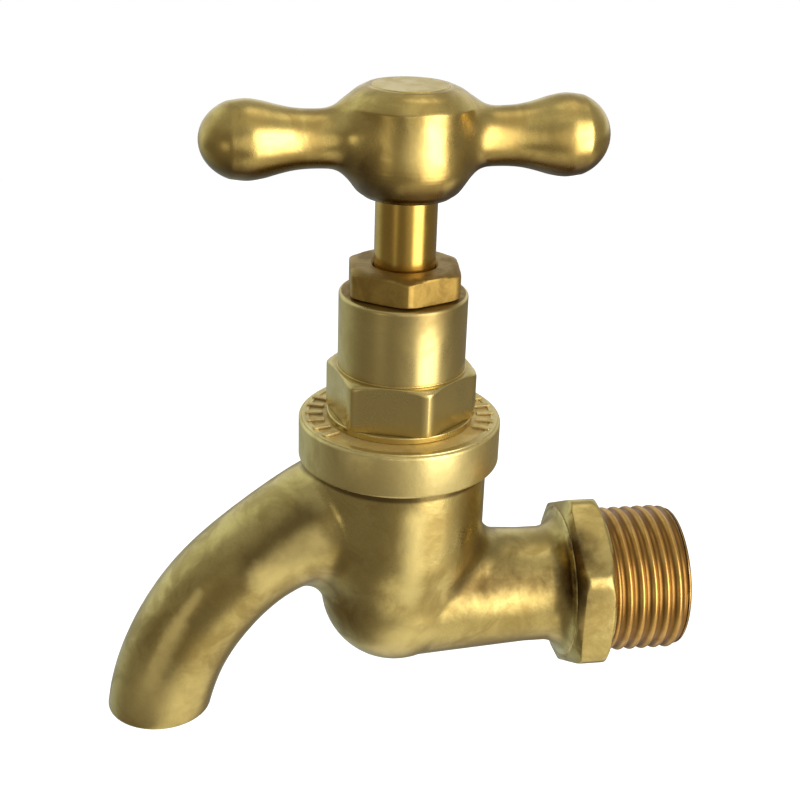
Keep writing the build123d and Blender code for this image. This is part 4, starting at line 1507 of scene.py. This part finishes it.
@dataclass
class Studio:
    """Floor, room light, window and camera, as in a product photograph on white."""

    spindle_y: float
    view_deg: float = 79.9
    camera_distance: float = 175.4
    camera_z: float = 107.0
    pitch: float = 0.4135
    roll: float = 0.0336
    focal_pixels: float = 1414.4
    image_pixels: float = 800.0
    sensor: float = 36.0
    nearest_m: float = 0.005
    furthest_m: float = 20.0
    surround_light: float = 0.6
    floor_z: float = -260.0
    floor_half: float = 1200.0
    floor_glow: float = 0.9
    floor_paint: float = 0.45
    table_radius: float = 90.0
    table_edge: float = 50.0
    window_turn_deg: float = 48.0
    window_distance: float = 320.0
    window_width: float = 295.0
    window_low: float = -250.0
    window_high: float = 420.0
    window_radiance: float = 5.2
    window_colour: Colour = (1.0, 0.99, 0.95)
    window_middle: float = 0.5
    window_core: tuple[float, float] = (0.2, 0.12)
    room_radius: float = 900.0
    room_colour: Colour = (0.36, 0.35, 0.33)
    bands: tuple[Band, ...] = (
        Band(Way.FORWARD, -0.1, 0.75, (0.25, 0.23, 0.20)),
        Band(Way.FORWARD, -0.2, -0.8, (0.95, 1.0, 1.01)),
        Band(Way.UPWARD, 0.3, 0.75, (0.50, 0.52, 0.52)),
        Band(Way.UPWARD, 0.06, -0.10, (0.24, 0.22, 0.19)),
    )
    glows: tuple[Glow, ...] = (
        Glow(14.0, 9.0, 10.0, 29.0, (0.95, 0.93, 0.88)),
        Glow(-132.0, -36.0, 16.0, 46.0, (0.50, 0.56, 0.52)),
        Glow(20.0, -60.0, 14.0, 36.0, (1.02, 1.0, 0.9)),
        Glow(94.0, -50.0, 10.0, 28.0, (1.15, 1.12, 1.0)),
        Glow(-120.0, 20.0, 12.0, 40.0, (0.95, 1.08, 1.1)),
        Glow(-38.0, -3.0, 3.0, 12.0, (1.4, 1.36, 1.2)),
        Glow(130.0, 76.0, 6.0, 21.0, (1.5, 1.48, 1.4)),
        Glow(30.0, 66.0, 6.0, 28.0, (0.78, 0.77, 0.72)),
    )

    def build(self) -> None:
        """Sets up everything that isn't the tap."""
        bpy.context.scene.view_settings.view_transform = "Standard"
        self._world()
        tone = self._room_tone()
        self._floor(tone)
        self._room(tone)
        self._window()
        self._camera()

    def _toward_camera(self, turn_deg: float = 0.0, rise_deg: float = 0.0) -> Vector:
        """A direction from the tap.

        Args:
            turn_deg: How far it is turned right of the camera's side.
            rise_deg: How far it is lifted.

        Returns:
            The direction, one unit long.
        """
        angle = math.radians(self.view_deg + turn_deg)
        rise = math.radians(rise_deg)
        return Vector((math.sin(angle) * math.cos(rise), -math.cos(angle) * math.cos(rise), math.sin(rise)))

    @staticmethod
    def _seen_directly(w: Wiring) -> Any:
        """Whether a ray shows the background itself, to the camera or in metal or glass.

        Args:
            w: The wiring of the world or material.

        Returns:
            1 for such a ray, and 0 for others.
        """
        path = w.add("ShaderNodeLightPath").outputs
        shown = w.maths("MAXIMUM", path["Is Camera Ray"], path["Is Glossy Ray"])
        return w.maths("MAXIMUM", shown, path["Is Transmission Ray"])

    def _world(self) -> None:
        """A white surround that lights the scene more weakly than it looks."""
        world = bpy.data.worlds.new("white_surround")
        bpy.context.scene.world = world
        world.use_nodes = True
        world.node_tree.nodes.clear()
        w = Wiring(world.node_tree)
        light, seen = (w.add("ShaderNodeBackground", {"Color": WHITE, "Strength": strength}).outputs[0]
                       for strength in (self.surround_light, 1.0))
        mixed = w.add("ShaderNodeMixShader", {0: self._seen_directly(w), 1: light, 2: seen})
        w.add("ShaderNodeOutputWorld", {"Surface": mixed.outputs[0]})

    def _room_tone(self) -> bpy.types.NodeTree:
        """Colour of the room in a direction: white behind, dim in front, dark below, and its soft glows.

        Returns:
            The shader group.
        """
        w, given = new_group("room_tone", {"Place": Socket.VECTOR}, {"Colour": Socket.COLOUR})
        ray = w.vector("NORMALIZE", given["Place"])
        along = {Way.FORWARD: w.vector("DOT_PRODUCT", ray, self._toward_camera()),
                 Way.UPWARD: w.parts(ray)["Z"]}
        colour = rgba(self.room_colour)
        for band in self.bands:
            colour = w.mix(w.ramp(along[band.way], band.start, band.full), colour, rgba(band.colour))
        for glow in self.glows:
            near = w.vector("DOT_PRODUCT", ray, self._toward_camera(glow.turn_deg, glow.rise_deg))
            edge, core = (math.cos(math.radians(angle)) for angle in (glow.edge_deg, glow.core_deg))
            colour = w.mix(w.ramp(near, edge, core), colour, rgba(glow.colour))
        w.add("NodeGroupOutput", {"Colour": colour})
        return w.tree

    def _floor(self, tone: bpy.types.NodeTree) -> bpy.types.Object:
        """A wide floor, white to the camera, that metal sees as white only as far as the table's edge.

        Args:
            tone: The room's colour by direction, which metal sees past the table.

        Returns:
            The floor.
        """
        half, level = self.floor_half * MM, self.floor_z * MM
        corners = [(-half, -half, level), (half, -half, level), (half, half, level), (-half, half, level)]
        mesh = bpy.data.meshes.new("floor")
        mesh.from_pydata(corners, [], [(0, 1, 2, 3)])
        material, w = new_material("floor_white")
        place = w.add("ShaderNodeTexCoord").outputs["Object"]
        spot = w.parts(place)
        distance = w.away(spot["X"], w.maths("SUBTRACT", spot["Y"], self.spindle_y * MM))
        past = w.ramp(distance, (self.table_radius - self.table_edge) * MM,
                      (self.table_radius + self.table_edge) * MM)
        mirrored = w.add("ShaderNodeLightPath").outputs["Is Glossy Ray"]
        dim = w.times(past, mirrored)
        glow = w.mix(dim, WHITE, w.group(tone, {"Place": place})["Colour"])
        strength = w.times(self._seen_directly(w),
                           w.plus(self.floor_glow, w.times(dim, 1 - self.floor_glow)))
        painted = w.mix(mirrored, rgba((self.floor_paint,) * 3), rgba((0.0, 0.0, 0.0)))
        paint = w.add("ShaderNodeBsdfDiffuse", {"Color": painted})
        light = w.add("ShaderNodeEmission", {"Color": glow, "Strength": strength})
        both = w.add("ShaderNodeAddShader", {0: paint.outputs[0], 1: light.outputs[0]})
        w.add("ShaderNodeOutputMaterial", {"Surface": both.outputs[0]})
        mesh.materials.append(material)
        return add_object("floor", mesh)

    def _room(self, tone: bpy.types.NodeTree) -> bpy.types.Object:
        """The room round the table, which the camera looks through.

        Args:
            tone: The room's colour by direction.

        Returns:
            The room.
        """
        mesh = bpy.data.meshes.new("room")
        with editing(mesh) as work:
            bmesh.ops.create_icosphere(work, subdivisions=4, radius=self.room_radius * MM)
        material, w = new_material("room_light")
        wall = w.group(tone, {"Place": w.add("ShaderNodeTexCoord").outputs["Object"]})
        glow = w.add("ShaderNodeEmission", {"Color": wall["Colour"], "Strength": 1.0})
        w.add("ShaderNodeOutputMaterial", {"Surface": glow.outputs[0]})
        mesh.materials.append(material)
        room = add_object("room", mesh)
        room.visible_camera = False
        return room

    def _window(self) -> None:
        """A tall soft window to the right of the camera, brightest at its middle and fading to its edges.

        Its own places run from 0 to 1 each way, and it is at its brightest within the core of the middle.
        """
        lamp = bpy.data.lights.new("window", "AREA")
        lamp.shape = "RECTANGLE"
        lamp.size = self.window_width * MM
        lamp.size_y = (self.window_high - self.window_low) * MM
        lamp.energy = self.window_radiance * math.pi * lamp.size * lamp.size_y
        lamp.color = self.window_colour
        lamp.use_nodes = True
        lamp.node_tree.nodes.clear()
        w = Wiring(lamp.node_tree)
        spot = w.parts(w.add("ShaderNodeNewGeometry").outputs["Parametric"])
        beside, above = (
            w.ramp(w.maths("ABSOLUTE", w.maths("SUBTRACT", spot[way], self.window_middle)),
                   self.window_middle, core)
            for way, core in zip(("X", "Y"), self.window_core))
        cloth = w.add("ShaderNodeEmission", {"Color": WHITE, "Strength": w.times(beside, above)})
        w.add("ShaderNodeOutputLight", {"Surface": cloth.outputs[0]})
        holder = add_object("window", lamp)
        away = self._toward_camera(self.window_turn_deg)
        centre = Vector((0, self.spindle_y, (self.window_low + self.window_high) / 2))
        holder.location = (centre + away * self.window_distance) * MM
        holder.rotation_euler = away.to_track_quat("Z", "Y").to_euler()
        holder.visible_camera = False

    def _camera(self) -> None:
        """The camera of the photograph: its place, pitch, roll and angle of view."""
        turn = math.radians(self.view_deg)
        flat_right = Vector((math.cos(turn), math.sin(turn), 0))
        forward = -self._toward_camera(rise_deg=math.degrees(self.pitch))
        flat_up = flat_right.cross(forward)
        right = flat_right * math.cos(self.roll) + flat_up * math.sin(self.roll)
        up = flat_up * math.cos(self.roll) - flat_right * math.sin(self.roll)
        data = bpy.data.cameras.new("camera")
        data.sensor_width = self.sensor
        data.lens = self.focal_pixels / self.image_pixels * self.sensor
        data.clip_start = self.nearest_m
        data.clip_end = self.furthest_m
        camera = add_object("camera", data)
        spot = Vector((0, self.spindle_y, 0)) + self._toward_camera() * self.camera_distance
        spot.z = self.camera_z
        axes = Matrix((right, up, -forward)).transposed().to_4x4()
        camera.matrix_world = Matrix.Translation(spot * MM) @ axes
        bpy.context.scene.camera = camera


def main() -> None:
    """Builds the tap's pieces in order, then the studio."""
    logging.basicConfig(level=logging.INFO, format="%(name)s: %(message)s")
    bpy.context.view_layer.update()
    low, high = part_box("spindle")
    spindle_y = (low.y + high.y) / 2 / MM
    effects = Effects()
    finishes = {surface.name: surface.build(effects) for surface in SURFACES}
    turned = [kind(spindle_y) for kind in (TapBody, Bonnet, GlandNut, Handle)]
    for assembly in (*turned, PlainPieces()):
        for piece in assembly.build(finishes):
            LOG.info("%s: %s, %d faces", type(assembly).__name__, piece.name, len(piece.data.polygons))
    Studio(spindle_y).build()


if __name__ == "__main__":
    main()
